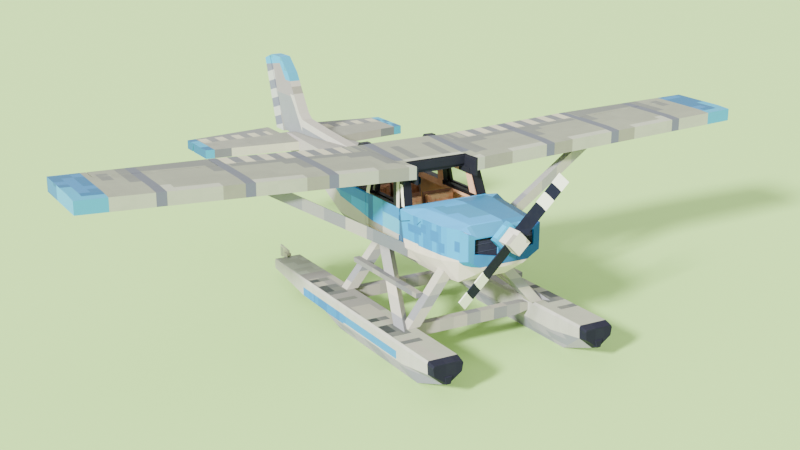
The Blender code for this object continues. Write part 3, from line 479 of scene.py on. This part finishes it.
# The white below and the blue above are duller, deeper or paler between these stations; the duller white
# and the deep blue band are painted shade under the wing
WING_SHADE_WHITE, WING_SHADE_BAND, CHALK_BAND = (0.60, 1.05), (0.90, 1.05), (COWL_REAR, 0.60)
PALE_BAND, PALE_FOOT, TEAL_BAND = (0.60, 0.90), (1.05, 1.60), (1.05, 2.00)
# Station from, to, height from, to
COWL_SPOTS = (
    (-0.62, -0.50, 1.90, 2.03), (-1.02, -0.90, 1.72, 1.86), (-0.50, -0.20, 1.85, 1.97),
    (-0.90, -0.72, 1.84, 2.00), (-1.30, -1.20, 1.80, 1.95))
# Across from, to, station from, to
COWL_TOP_SPOTS = (
    (-0.28, 0.12, -1.02, -0.42), (-0.46, -0.28, -0.74, -0.34), (-0.50, 0.30, -1.50, -1.30))
# the port half of the cowl's top, in painted shade
COWL_TOP_SHADE_SPOTS = ((0.08, 0.60, -1.36, -0.10),)
# Two thin dark lines on each side of the cowl: station, height, station, height
COWL_DARK_LINE_ENDS = ((-0.26, 2.015, 0.083, 1.92), (-0.509, 2.066, -0.416, 1.987))
COWL_DARK_LINE_HALF = 0.007
# The nose's face, seen from the front: across and height
FACE_CORNER, FACE_MIDDLE, FACE_PORT = -0.50, -0.12, 0.20
BROW_Z, BROW_END = 2.03, 0.25
FIREWALL_S = -0.3
INLET_RIM = -1.42            # station of the rear edge of an inlet's rim


def body_finish(name, lining):
    """The fuselage: light blue above a line that rises aft, white below, deep blue at the nose; the deeper
    blue towards port on the nose and cowl and the darker sides under the wing are partly painted shade.
    """
    f = Finish(name, BODY_WHITE, SIDE_LIGHT)
    small = f.blocks(13)
    posts = f.blocks(9, POSTS)
    port = f.above(f.x, 0.0)
    cowl = f.below(f.s, COWL_REAR)
    f.tone(posts, 0.94, 1.03)
    f.paint(LOWER_WHITE, f.above(f.s, COWL_REAR))
    # painted shade of the wing: the lower white is duller under it
    f.paint(LOWER_WING_SHADE, f.between(f.s, *WING_SHADE_WHITE))
    under = f.faces("down", 0.45)
    f.paint(UNDER_GREY, under, f.above(f.s, COWL_REAR))
    f.paint(UNDER_NOSE, under, cowl)
    f.paint(SPINE_GREY, f.faces("up"), f.above(f.s, SPINE_START), light=LIGHT)
    edge = EDGE_LEVEL
    for end, level in EDGE_STEPS:
        edge = f.choose(f.below(f.s, end), edge, level)
    edge = f.math("MAXIMUM", edge, f.math("MULTIPLY_ADD", f.s, EDGE_RISE, EDGE_START))
    painted = f.all(f.above(f.z, edge), f.below(f.s, PAINT_END))
    f.paint(BODY_BLUE, painted)
    f.paint(BODY_FORE, painted, f.below(f.s, COWL_FORE))
    f.paint(BODY_POST, painted, f.above(posts, 0.66), f.below(f.s, COWL_BAND))
    f.patches(COWL_DULL, f.s, f.z, COWL_SPOTS, painted)
    upper, lower = f.above(f.z, BELT_Z), f.below(f.z, BELT_Z)
    f.paint(BODY_MID, painted, f.between(f.s, COWL_BAND, COWL_REAR))
    f.paint(SIDE_CHALK, painted, lower, f.between(f.s, *CHALK_BAND))
    f.paint(SIDE_TEAL, painted, upper, f.between(f.s, *TEAL_BAND))
    pale = f.either(f.between(f.s, *PALE_BAND), f.all(lower, f.between(f.s, *PALE_FOOT)))
    f.paint(SIDE_PALE, painted, pale)
    # painted shade of the wing: a deeper blue band where its shade is darkest
    f.paint(SIDE_WING_SHADE, painted, f.between(f.s, *WING_SHADE_BAND))
    f.paint(BODY_MID_FOOT, f.between(f.s, COWL_BAND, COWL_REAR), f.between(f.z, *BAND_FOOT))
    # thin dark lines painted on the cowl's sides
    for s0, z0, s1, z1 in COWL_DARK_LINE_ENDS:
        drop = f.drop(s0, z0, s1, z1)
        f.paint(COWL_DARK_LINE, painted, f.between(f.s, s0, s1), f.between(drop, -COWL_DARK_LINE_HALF, COWL_DARK_LINE_HALF))
    top = f.all(painted, f.faces("up"), cowl)
    f.paint(COWL_TOP, top, light=LIGHT)
    f.patches(COWL_TOP_DULL, f.x, f.s, COWL_TOP_SPOTS, top, light=LIGHT)
    # painted shade: the port half of the cowl's top and its port shoulder, facing away from the light, are
    # a deeper blue
    f.patches(COWL_TOP_SHADE, f.x, f.s, COWL_TOP_SHADE_SPOTS, top, light=LIGHT)
    f.paint(COWL_SHOULDER_SHADE, painted, f.faces("port", 0.25), f.faces("up", 0.25), cowl, light=LIGHT)
    # the nose's face, over its own blue: lighter at the starboard corner and brow as painted light, deeper
    # blue towards port as painted shade
    face = f.all(painted, f.faces("fore", 0.7), f.below(f.s, NOSE_START))
    f.paint(NOSE_FACE, face, light=LIGHT)
    f.paint(NOSE_MID_SHADE, face, f.above(f.x, FACE_MIDDLE), light=LIGHT)
    f.paint(NOSE_PORT_SHADE, face, f.above(f.x, FACE_PORT), light=LIGHT)
    f.paint(NOSE_CORNER, face, f.below(f.x, FACE_CORNER), light=LIGHT)
    f.paint(NOSE_BROW, face, f.above(f.z, BROW_Z), f.below(f.x, BROW_END), light=LIGHT)
    f.tone(small, 0.985, 1.02)
    f.dirt(STAIN, 0.10)
    # the inside is what looks towards the body's own axis
    rise = f.math("SUBTRACT", f.z, BODY_AXIS_Z)
    away = f.math("MULTIPLY_ADD", rise, f.nz, f.math("MULTIPLY", f.x, f.nx))
    inside = f.either(f.below(away, -0.02), f.all(f.faces("aft"), f.below(f.s, FIREWALL_S)))
    f.paint(lining, inside, light=INSIDE_LIGHT)
    # the rims of the inlets keep the paint of the nose, with its painted shade deeper on the port side
    rim = f.all(inside, f.below(f.s, INLET_RIM))
    f.paint(BODY_BLUE, rim, light=LIGHT)
    f.paint(NOSE_PORT_SHADE, rim, port, light=LIGHT)
    return f, away


def shell_finish(name, lining):
    f, _ = body_finish(name, lining)
    return f.sheet()


# The windows: how far the windscreen leans aft for each metre up, with heights and stations
WINDSCREEN_LEAN = 0.333
SILL_LOW, SILL_TOP, HEADER_LOW, HEADER_FORE_LOW = 2.06, 2.12, 2.5, 2.43
HEADER_REAR = 0.45
DOOR_LINING_TOP, DOOR_SILL = 2.05, 2.10
DOOR_POST_END = 1.05
# Stations that the leaning members have where their line meets the floor
DOOR_PALE_LEAN, POST_PALE_LEAN, POST_INNER_LEAN = -0.504, -0.45, -0.619
DOOR_REAR_POST = 1.0


def door_finish():
    """A door: the fuselage's scheme outside, a light and charcoal window frame, dark inside."""
    f, away = body_finish("door_paint", TAN)
    f.paint(DARK, f.above(f.z, DOOR_LINING_TOP), f.below(away, 0.3))
    window = f.above(f.z, DOOR_SILL)
    f.paint(CHARCOAL, window)
    # the frame's fore edge leans aft with the windscreen
    fore = f.below(f.leaning(WINDSCREEN_LEAN), DOOR_PALE_LEAN)
    pale = f.either(fore, f.above(f.s, DOOR_REAR_POST))
    f.paint(OFF_WHITE, window, f.above(away, 0.3), pale)
    return f.sheet()


def frame_finish():
    """The cabin frame: charcoal outside and in front, peach and tan inside."""
    f = Finish("cabin_frame_paint", DARK)
    outer, inner = f.faces("out"), f.faces("in")
    small = f.blocks(8)
    lean = f.leaning(WINDSCREEN_LEAN)
    over_sill = f.above(f.z, SILL_TOP)
    fore = f.below(f.s, HEADER_REAR)
    f.paint(CHARCOAL, f.either(f.faces("fore", 0.4), outer))
    f.paint(FRAME_PALE, outer, f.between(f.s, DOOR_POST_END, 1.3), over_sill)
    post = f.all(f.below(lean, POST_PALE_LEAN), f.between(f.z, SILL_TOP, HEADER_LOW - 0.01))
    f.paint(POST_PALE, outer, post, light=INSIDE_LIGHT)
    f.paint(POST_TAN, inner, light=INSIDE_LIGHT)
    f.paint(DARK, inner, f.between(f.z, SILL_LOW, SILL_TOP + 0.01), f.below(f.s, DOOR_POST_END))
    f.paint(PEACH, inner, fore, over_sill, light=LIGHT * 0.6)
    f.paint(CHARCOAL, inner, f.below(lean, POST_INNER_LEAN), over_sill)
    high = f.either(f.above(f.z, HEADER_LOW), f.all(f.above(f.z, HEADER_FORE_LOW), fore))
    f.paint(RECESS, high)
    f.paint(RECESS_DEEP, high, f.above(small, 0.6))
    f.tone(small, 0.94, 1.05)
    return f.done(gloss=(0.5, 0.7))


# The floats' paint
DECK_Z = 0.625
PAD_RISE, BRACKET_RISE = 0.0015, 0.012
STERN, BRACKET_START = 2.0, 2.7
OUTER_SIDE, OUTER_PADS = 1.3, 1.34
STRIPE_FORE_HEIGHTS, STRIPE_REAR_HEIGHTS = (0.355, 0.475), (0.33, 0.48)
STRIPE_START, STRIPE_STEP, STRIPE_LIGHT, STRIPE_END = -1.12, 0.45, 1.45, 1.82
PAD_START, PAD_END = -1.4, 1.9
# Station from, to
DARK_PADS = ((-0.83, -0.52), (-0.37, -0.20), (1.05, 1.38), (1.54, 1.72))
TREAD_PITCH = 0.014


def float_finish():
    """The floats: off-white sides, violet grey chines, a blue stripe, dark tread pads."""
    f = Finish("float_paint", FLOAT_WHITE, SIDE_LIGHT)
    small = f.blocks(3)
    wide = f.blocks(5, (BLOCK, BLOCK * 3, BLOCK))
    posts = f.blocks(4, POSTS)
    f.tone(posts, 0.95, 1.02)
    low = f.faces("down", 0.2)
    f.paint(CHINE, low, light=LIGHT)
    f.paint(CHINE_BLOCK, low, f.above(wide, 0.6), light=LIGHT)
    deck = f.faces("up", 0.6)
    stern = f.above(f.s, STERN)
    f.paint(DECK_FORE, deck, light=LIGHT)
    f.paint(DECK_MID, deck, f.above(f.s, 0.0), light=LIGHT)
    f.paint(DECK_BLOCK, deck, f.above(wide, 0.75), light=LIGHT)
    f.paint(DECK_AFT, deck, stern, light=LIGHT)
    f.paint(DECK_AFT_BLOCK, deck, stern, f.above(small, 0.6), light=LIGHT)
    f.paint(STERN_LIGHT, f.above(f.s, BRACKET_START), f.above(f.z, DECK_Z + BRACKET_RISE))
    pad = f.all(f.above(f.z, DECK_Z + PAD_RISE), f.below(f.s, PAD_END), f.above(f.s, PAD_START))
    f.paint(PAD, pad, light=LIGHT)
    f.paint(PAD_BLOCK, pad, f.above(small, 0.66), light=LIGHT)
    f.paint(PAD_DARK, pad, f.above(f.ax, OUTER_PADS), f.ranges(f.s, DARK_PADS), light=LIGHT)
    side = f.all(f.faces("out", 0.85), f.above(f.ax, OUTER_SIDE))
    fore = f.all(f.between(f.s, STRIPE_START, STRIPE_STEP), f.between(f.z, *STRIPE_FORE_HEIGHTS))
    rear = f.all(f.between(f.s, STRIPE_STEP, STRIPE_END), f.between(f.z, *STRIPE_REAR_HEIGHTS))
    stripe = f.all(side, f.either(fore, rear))
    f.paint(STRIPE, stripe)
    f.paint(STRIPE_AFT, stripe, f.above(f.s, STRIPE_LIGHT))
    f.paint(STRIPE_MID, stripe, f.between(f.s, STRIPE_STEP, STRIPE_LIGHT))
    f.paint(STRIPE_POST, stripe, f.above(posts, 0.72))
    f.tone(small, 0.985, 1.015)
    f.dirt(STAIN, 0.10, 3.1)
    bars = [f.ramp(f.lines(v, TREAD_PITCH), 1.0, 0.0, 0.0, 0.004) for v in (f.x, f.s)]
    tread = f.ramp(f.either(*bars), 0.0, 0.8)
    return f.done(height=f.choose(pad, f.skin(), tread), relief=SKIN_RELIEF)


# Where a wing strut meets the wing's shade, and where the float struts stand in the body's
ROOT_LOW, ROOT_REACH = 1.3, 1.25
SHADE_TOP, SHADE_STATIONS = 1.0, (0.0, 0.9)


def strut_finish(name, size, seed, shade=0):
    """Struts and bars: off-white with bands of violet grey along their length."""
    base, dull, dark, pale = [tuple(v - shade for v in colour)
                              for colour in (STRUT, STRUT_BAND, STRUT_DARK, STRUT_LIGHT)]
    f = Finish(name, base, SIDE_LIGHT * 0.9)
    band = f.blocks(seed, size)
    f.paint(dull, f.above(band, 0.45))
    f.paint(dark, f.above(band, 0.74))
    f.paint(pale, f.below(band, 0.16))
    f.paint(STRUT_ROOT, f.above(f.z, ROOT_LOW), f.below(f.ax, ROOT_REACH), f.above(band, 0.3))
    f.paint(STRUT_SHADE, f.faces("in"), f.below(f.z, SHADE_TOP), f.between(f.s, *SHADE_STATIONS))
    f.dirt(STAIN, 0.10, 4.0)
    return f.done()


# White bands of the blades, by distance from the shaft
BLADE_BAND, BLADE_TIP = (0.62, 0.805), 0.967


def blade_finish():
    """The blades: charcoal and white bands by distance from the shaft."""
    f = Finish("propeller_blade_paint", BLADE_DARK)
    radius = f.distance(f.x, f.math("SUBTRACT", f.z, PROP_Z))
    f.tone(f.blocks(2), 0.85, 1.12)
    f.paint(BLADE_WHITE, f.either(f.between(radius, *BLADE_BAND), f.above(radius, BLADE_TIP)))
    f.dirt(BLADE_STAIN, 0.10, 9.0)
    return f.done(gloss=(0.45, 0.6), Specular_IOR_Level=DULL_SHINE)


def plain_finish(name, base, spots, seed, size=BLOCK, **more):
    """One colour with blocks of a second, a few stains and a fine grain."""
    f = Finish(name, base)
    small = f.blocks(seed, (size, size, size))
    f.paint(spots, f.above(small, 0.62))
    f.tone(small, 0.95, 1.04)
    f.dirt(tuple(int(v * 0.72) for v in base), 0.25, 6.0)
    return f.done(**more)


def cloth_finish(name):
    """Tan seat cloth: a weave in relief, a soft sheen, darker worn patches."""
    f = Finish(name, SEAT_TAN, INSIDE_LIGHT)
    worn = f.noise(7.0, 5.0)
    f.paint(SEAT_WORN, f.ramp(worn, 0.0, 0.55, 0.45, 0.75))
    f.paint(SEAT_LIGHT, f.above(f.blocks(2), 0.75))
    # painted shade: the cloth of the rear bench, behind the front seats, is darker
    f.paint(SEAT_REAR_SHADE, f.above(f.s, 1.1))
    waves = []
    for band in ("X", "Z"):
        wave = f.add("ShaderNodeTexWave", bands_direction=band)
        f.feed(wave.inputs["Vector"], f.place)
        wave.inputs["Scale"].default_value = 130.0
        wave.inputs["Distortion"].default_value = 0.6
        waves.append(wave.outputs["Fac"])
    weave = f.math("ADD", *waves)
    f.tone(weave, 0.93, 1.03)
    return f.done(gloss=(0.74, 0.92), relief=0.0012, height=weave, Sheen_Weight=0.25)


def wear(mat, *names):
    """Put a finish on CAD nodes, in place of their plain one."""
    for name in names:
        for part_slot in nodes[name].material_slots:
            part_slot.link = "OBJECT"
            part_slot.material = mat


def both(*stems):
    return [stem + "_" + side for stem in stems for side in SIDES]


wear(wing_finish(), "wing_centre", *both("wing", "flap", "aileron"))
wear(tail_finish(), "stabiliser", "elevator")
wear(fin_finish(), "fin", "rudder")
wear(shell_finish("cowl_paint", METAL_LINING), "cowl")
wear(shell_finish("cabin_paint", TAN), "cabin_shell", "tailcone")
wear(door_finish(), *both("door"))
wear(frame_finish(), "cabin_frame")
wear(float_finish(), *both("float"))

wear(strut_finish("wing_strut_paint", (BLOCK * 2, FAR, FAR), 3), *both("wing_strut"))
wear(strut_finish("float_strut_paint", (FAR, FAR, BLOCK), 6),
     *both("front_strut", "rear_strut", "diagonal_strut"))
# the step bars are painted darker, a painted shade from the fuselage above them; the spreader bars are
# painted a little darker too
wear(strut_finish("step_bar_paint", (FAR, BLOCK * 1.5, FAR), 2, 16), *both("step_bar"))
wear(strut_finish("spreader_paint", (BLOCK * 1.5, FAR, FAR), 5, 10),
     "spreader_bar_front", "spreader_bar_rear")

wear(plain_finish("water_rudder_paint", (212, 211, 204), (198, 198, 192), 4), *both("water_rudder"))
wear(plain_finish("bumper_rubber", (57, 58, 80), (61, 62, 83), 2, gloss=(0.62, 0.78),
                  Specular_IOR_Level=DULL_SHINE), *both("bow_bumper"))
wear(blade_finish(), "propeller_blade_a", "propeller_blade_b")
wear(plain_finish("hub_paint", (214, 212, 208), (194, 192, 184), 5), "propeller_hub")
wear(plain_finish("backplate_paint", (132, 188, 214), (146, 200, 222), 3), "propeller_backplate")
wear(plain_finish("engine_metal_finish", (150, 151, 158), (162, 162, 168), 6, gloss=(0.35, 0.6),
                  Metallic=0.6), "engine_block")
wear(plain_finish("firewall_finish", (175, 176, 184), (186, 187, 192), 4, gloss=(0.4, 0.6)), "firewall")
wear(plain_finish("panel_finish", (52, 52, 58), (62, 60, 64), 5, gloss=(0.6, 0.8)), "instrument_panel")


# Seats
PAN_LOW, SEAT_TOP = 1.44, 1.56
CABIN_FLOOR = 1.2403
SQUAB_THICK, BACK_THICK = 0.088, 0.082
CUSHION_SINK = 0.052         # how deep a cushion's middle lies under the seat's face
SIDE_GAP, END_GAP = 0.026, 0.012
SQUAB_CHANNELS, BACK_CHANNELS = 4, 5
VOXEL = 0.009
FILL_FRAMES = 20
SWELL_LIMIT = 0.022          # how far the sewn cover may move as it fills
BORDER = 0.062               # from the cushion's edge to its border seam
SEAM_DEPTH, SEAM_WIDTH = 0.007, 0.006
CHANNEL_DEPTH, CHANNEL_WIDTH = 0.006, 0.007
PUFF, PUFF_REACH = 0.003, 0.035
PIPE_RADIUS = 0.0045
PIPE_CORNER = 0.03
PIPE_STEP = 0.02
CORNER_STEPS = 6
PLATE_HALF = 0.009           # of the plate behind a seat's back


def station(s):
    return s + STATION_ZERO


def add_piece(name, mesh, mat):
    piece = bpy.data.objects.new(name, mesh)
    scene.collection.objects.link(piece)
    mesh.materials.clear()
    mesh.materials.append(mat)
    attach(piece, "airframe")
    return piece


def add_block(bm, low, high, radius, segments=2):
    """A block with rounded edges between two corners."""
    made = bmesh.ops.create_cube(bm, size=1.0)["verts"]
    size = [b - a for a, b in zip(low, high)]
    middle = Vector([(a + b) / 2 for a, b in zip(low, high)])
    bmesh.ops.scale(bm, vec=size, verts=made)
    bmesh.ops.translate(bm, vec=middle, verts=made)
    edges = list({edge for vert in made for edge in vert.link_edges})
    made = bmesh.ops.bevel(bm, geom=edges, offset=radius, segments=segments, profile=0.5, affect="EDGES")
    return list({vert for face in made["faces"] for vert in face.verts})


def mesh_from(bm, name):
    mesh = bpy.data.meshes.new(name)
    bm.to_mesh(mesh)
    bm.free()
    return mesh


def smoothed(mesh):
    for face in mesh.polygons:
        face.use_smooth = True
    return mesh


def settled(piece):
    """The piece's mesh with its modifiers applied."""
    graph = bpy.context.evaluated_depsgraph_get()
    mesh = bpy.data.meshes.new_from_object(piece.evaluated_get(graph))
    piece.modifiers.clear()
    old, piece.data = piece.data, mesh
    bpy.data.meshes.remove(old)
    return mesh


class Cushion:
    """A sewn cushion about its own middle, its face towards +Z, before it is set in place."""

    def __init__(self, name, node, size, place, channels):
        self.name, self.node, self.size, self.place, self.channels = name, node, size, place, channels
        bm = bmesh.new()
        half = [v / 2 for v in size]
        add_block(bm, [-v for v in half], half, min(size) * 0.22, 3)
        self.piece = add_piece(name, mesh_from(bm, name), seat_cloth)
        cells = self.piece.modifiers.new("cells", "REMESH")
        cells.mode = "VOXEL"
        cells.voxel_size = VOXEL
        self.rest = [v.co.copy() for v in settled(self.piece).vertices]

    def fill(self):
        cover = self.piece.modifiers.new("cover", "CLOTH")
        cover.settings.quality = 5
        cover.settings.mass = 0.3
        cover.settings.tension_stiffness = 25.0
        cover.settings.compression_stiffness = 25.0
        cover.settings.use_pressure = True
        cover.settings.uniform_pressure_force = 4.0
        cover.settings.effector_weights.gravity = 0.0
        cover.collision_settings.use_collision = False
        cover.point_cache.frame_start = 1
        cover.point_cache.frame_end = FILL_FRAMES

    def cap(self):
        """Keep each point near its start, and flat where the cushion lies on its pan."""
        mesh = settled(self.piece)
        for vert, start in zip(mesh.vertices, self.rest):
            move = vert.co - start
            if move.length > SWELL_LIMIT:
                move *= SWELL_LIMIT / move.length
            if start.z < 0:
                move.z = max(move.z, -0.002)
            vert.co = start + move

    def sew(self):
        """One subdivision, then the border seam and the channels across the face."""
        finer = self.piece.modifiers.new("finer", "SUBSURF")
        finer.levels = 1
        settled(self.piece)
        mesh = self.piece.data
        half_x, half_y, half_z = [v / 2 for v in self.size]
        inner_x = half_x - BORDER
        rows = [-inner_x + 2 * inner_x * (i + 1) / self.channels for i in range(self.channels - 1)]
        for vert in mesh.vertices:
            x, y, z = vert.co
            if z < half_z * 0.35:
                continue
            edge = min(half_x - abs(x), half_y - abs(y))
            depth = SEAM_DEPTH * math.exp(-((edge - BORDER) / SEAM_WIDTH) ** 2)
            if edge > BORDER:
                away = min(abs(x - row) for row in rows)
                depth = max(depth, CHANNEL_DEPTH * math.exp(-(away / CHANNEL_WIDTH) ** 2))
                vert.co.z += math.sin(math.pi * min(1.0, away / PUFF_REACH) / 2) * PUFF
            vert.co.z -= depth
        mesh.transform(self.place)
        smoothed(mesh)
        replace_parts(self.piece, self.node)
        self.pipe()

    def pipe_route(self):
        """The piping's way round the cushion seen from its face: four rounded corners."""
        reach_x = self.size[0] / 2 - PIPE_CORNER
        reach_y = self.size[1] / 2 - PIPE_CORNER
        route = []
        for i, (side_x, side_y) in enumerate(((1, 1), (-1, 1), (-1, -1), (1, -1))):
            for k in range(CORNER_STEPS + 1):
                angle = math.pi / 2 * (i + k / CORNER_STEPS)
                route.append((side_x * reach_x + PIPE_CORNER * math.cos(angle),
                              side_y * reach_y + PIPE_CORNER * math.sin(angle)))
        return route

    def pipe(self):
        """Piping sewn along the upper edge, laid on the filled cover."""
        mesh = self.piece.data
        tree = BVHTree.FromPolygons([v.co for v in mesh.vertices], [f.vertices[:] for f in mesh.polygons])
        height = self.size[2] / 2 * 0.72
        route = self.pipe_route()
        points = []
        for (x0, y0), (x1, y1) in zip(route, route[1:] + route[:1]):
            steps = max(1, round(math.hypot(x1 - x0, y1 - y0) / PIPE_STEP))
            for k in range(steps):
                spot = Vector((x0 + (x1 - x0) * k / steps, y0 + (y1 - y0) * k / steps, height))
                points.append(tree.find_nearest(self.place @ spot)[0])
        curve = bpy.data.curves.new(self.name + "_piping", "CURVE")
        curve.dimensions = "3D"
        spline = curve.splines.new("POLY")
        spline.points.add(len(points) - 1)
        for knot, spot in zip(spline.points, points):
            knot.co = (*spot, 1.0)
        spline.use_cyclic_u = True
        curve.bevel_depth = PIPE_RADIUS
        curve.bevel_resolution = 2
        shape = bpy.data.objects.new(curve.name, curve)
        scene.collection.objects.link(shape)
        graph = bpy.context.evaluated_depsgraph_get()
        mesh = bpy.data.meshes.new_from_object(shape.evaluated_get(graph))
        bpy.data.objects.remove(shape)
        add_piece(self.name + "_piping", smoothed(mesh), piping_trim)


def seat_cushions(node, x, width, front, depth, height, lean, count):
    """The squabs and backs of a seat, side by side."""
    pad = width / count
    run = depth - lean + 0.03
    rise = height - SEAT_TOP
    tilt = math.atan2(lean, rise)
    tall = math.hypot(lean, rise) - 0.03
    # the back's own Y runs up it, its Z towards the sitter
    up = Vector((0.0, math.sin(tilt), math.cos(tilt)))
    face = Vector((0.0, -math.cos(tilt), math.sin(tilt)))
    turn = Matrix((Vector((1.0, 0.0, 0.0)), up, face)).transposed().to_4x4()
    made = []
    for i in range(count):
        middle = x - width / 2 + pad * (i + 0.5)
        tag = "" if count == 1 else "_" + str(i + 1)
        seat = (middle, station(front + 0.01 + run / 2), SEAT_TOP - CUSHION_SINK)
        made.append(Cushion(node + "_squab" + tag, node, (pad - SIDE_GAP, run - END_GAP, SQUAB_THICK),
                            Matrix.Translation(seat), SQUAB_CHANNELS))
        foot = Vector((middle, station(front + depth - lean), SEAT_TOP + 0.012))
        place = Matrix.Translation(foot + up * (tall / 2) - face * CUSHION_SINK) @ turn
        made.append(Cushion(node + "_back" + tag, node, (pad - SIDE_GAP, tall - END_GAP, BACK_THICK),
                            place, BACK_CHANNELS))
    return made


def seat_frame(node, x, width, front, depth, height):
    """The hard parts that carry the cushions: a pan, a plate behind the back, a pedestal and two rails."""
    bm = bmesh.new()
    rear = front + depth
    low, high = x - width / 2 + 0.008, x + width / 2 - 0.008
    add_block(bm, (low, station(front + 0.012), PAN_LOW + 0.002),
              (high, station(rear + 0.09), PAN_LOW + 0.018), 0.006)
    plate = add_block(bm, (low, -PLATE_HALF, 0.0), (high, PLATE_HALF, height - PAN_LOW - 0.02), 0.008)
    slope = math.atan2(0.02, height - PAN_LOW)
    foot = Matrix.Translation((0.0, station(rear + 0.088), PAN_LOW + 0.01))
    bmesh.ops.transform(bm, matrix=foot @ Matrix.Rotation(-slope, 4, "X"), verts=plate)
    reach = min(width / 2 - 0.09, 0.385 - abs(x))
    add_block(bm, (x - reach, station(front + 0.07), CABIN_FLOOR + 0.02),
              (x + reach, station(rear - 0.01), PAN_LOW + 0.004), 0.012)
    for side in (-1, 1):
        rail = x + side * (reach - 0.03)
        add_block(bm, (rail - 0.014, station(front + 0.06), CABIN_FLOOR),
                  (rail + 0.014, station(rear), CABIN_FLOOR + 0.024), 0.004)
    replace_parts(add_piece(node + "_shell", mesh_from(bm, node + "_shell"), seat_shell), node)


seat_cloth = cloth_finish("seat_cloth")
piping_trim = plain_finish("seat_piping", (176, 144, 118), (168, 136, 110), 3, 0.03, gloss=(0.5, 0.65))
seat_shell = plain_finish("seat_shell", (190, 160, 136), (180, 150, 126), 5, gloss=(0.5, 0.7))
cushions = []
# Node, middle across, width, front station, depth, top of the back, lean of the back, cushions abreast
for node, x, width, front, depth, height, lean, count in (
        ("front_seat_port", 0.28, 0.53, 0.22, 0.42, 2.09, 0.06, 1),
        ("front_seat_starboard", -0.28, 0.53, 0.22, 0.42, 2.09, 0.06, 1),
        ("rear_bench", 0.0, 1.04, 1.18, 0.46, 2.05, 0.08, 2)):
    cushions += seat_cushions(node, x, width, front, depth, height, lean, count)
    seat_frame(node, x, width, front, depth, height)
for cushion in cushions:
    cushion.fill()
for number in range(1, FILL_FRAMES + 1):
    scene.frame_set(number)
for cushion in cushions:
    cushion.cap()
scene.frame_set(1)
for cushion in cushions:
    cushion.sew()


# Cooling baffles behind the inlets
INLET_X = (0.085, 0.50)
INLET_LOW, INLET_TOP = 1.71, 2.03
BAFFLE = -1.432              # station of the baffle's plate
VANE_COUNT, VANE_HALF, VANE_DEPTH = 26, 0.0016, 0.016
BAR_HEIGHTS, BAR_HALF = (1.82, 1.93), 0.005


def baffles():
    """A plate behind each inlet, with upright vanes and two bars across them."""
    bm = bmesh.new()
    face = station(BAFFLE)
    for side in (-1, 1):
        x0, x1 = sorted((side * INLET_X[0], side * INLET_X[1]))
        add_block(bm, (x0, face, INLET_LOW), (x1, face + 0.004, INLET_TOP), 0.001, 1)
        for i in range(VANE_COUNT):
            x = x0 + (x1 - x0) * (i + 0.5) / VANE_COUNT
            add_block(bm, (x - VANE_HALF, face - VANE_DEPTH, INLET_LOW),
                      (x + VANE_HALF, face, INLET_TOP), 0.0006, 1)
        for z in BAR_HEIGHTS:
            add_block(bm, (x0, face - 0.021, z - BAR_HALF), (x1, face - 0.012, z + BAR_HALF), 0.0015, 1)
    baffle_metal = plain_finish("baffle_metal", (100, 104, 132), (92, 96, 122), 4, 0.09, gloss=(0.45, 0.65))
    add_piece("inlet_baffles", mesh_from(bm, "inlet_baffles"), baffle_metal)


baffles()


# Floor, light and camera
FLOOR_REACH = 220.0
SKY_STRENGTH = 1.25
KEY_TRAVEL = (0.80, 0.43, -0.46)
KEY_POWER, KEY_SPREAD = 10.0, 7.0
EYE = (-9.4652, -17.0793, 7.2698)
EYE_RIGHT, EYE_AHEAD = (0.8663, -0.4996, 0.0), (0.4770, 0.8273, -0.2967)
SENSOR, LENS = 36.0, 56.496


def floor_finish():
    f = Finish("studio_floor", FLOOR_GREEN)
    f.tone(f.noise(0.05, 2.0), 0.985, 1.015)
    return f.done(gloss=(0.85, 0.95), grain=3.0, relief=0.0002)


ground = bpy.data.meshes.new("floor")
corners = [(x * FLOOR_REACH, y * FLOOR_REACH, 0) for x, y in ((-1, -1), (1, -1), (1, 1), (-1, 1))]
ground.from_pydata(corners, [], [(0, 1, 2, 3)])
floor = bpy.data.objects.new("floor", ground)
scene.collection.objects.link(floor)
floor.data.materials.append(floor_finish())
floor.location.z = -0.002

world = bpy.data.worlds.new("studio")
world.use_nodes = True
sky = world.node_tree.nodes["Background"]
sky.inputs["Color"].default_value = (1.0, 1.0, 1.0, 1.0)
sky.inputs["Strength"].default_value = SKY_STRENGTH
scene.world = world

key = bpy.data.lights.new("key", "SUN")
key.energy = KEY_POWER
key.angle = math.radians(KEY_SPREAD)
lamp = bpy.data.objects.new("key", key)
lamp.rotation_euler = Vector(KEY_TRAVEL).to_track_quat("-Z", "Y").to_euler()
scene.collection.objects.link(lamp)

camera = bpy.data.cameras.new("camera")
camera.sensor_width = SENSOR
camera.lens = LENS
camera.clip_end = 1000.0
eye = bpy.data.objects.new("camera", camera)
right, ahead = Vector(EYE_RIGHT).normalized(), Vector(EYE_AHEAD).normalized()
turn = Matrix((right, right.cross(ahead), -ahead)).transposed().to_4x4()
eye.matrix_world = Matrix.Translation(EYE) @ turn
scene.collection.objects.link(eye)
scene.camera = eye
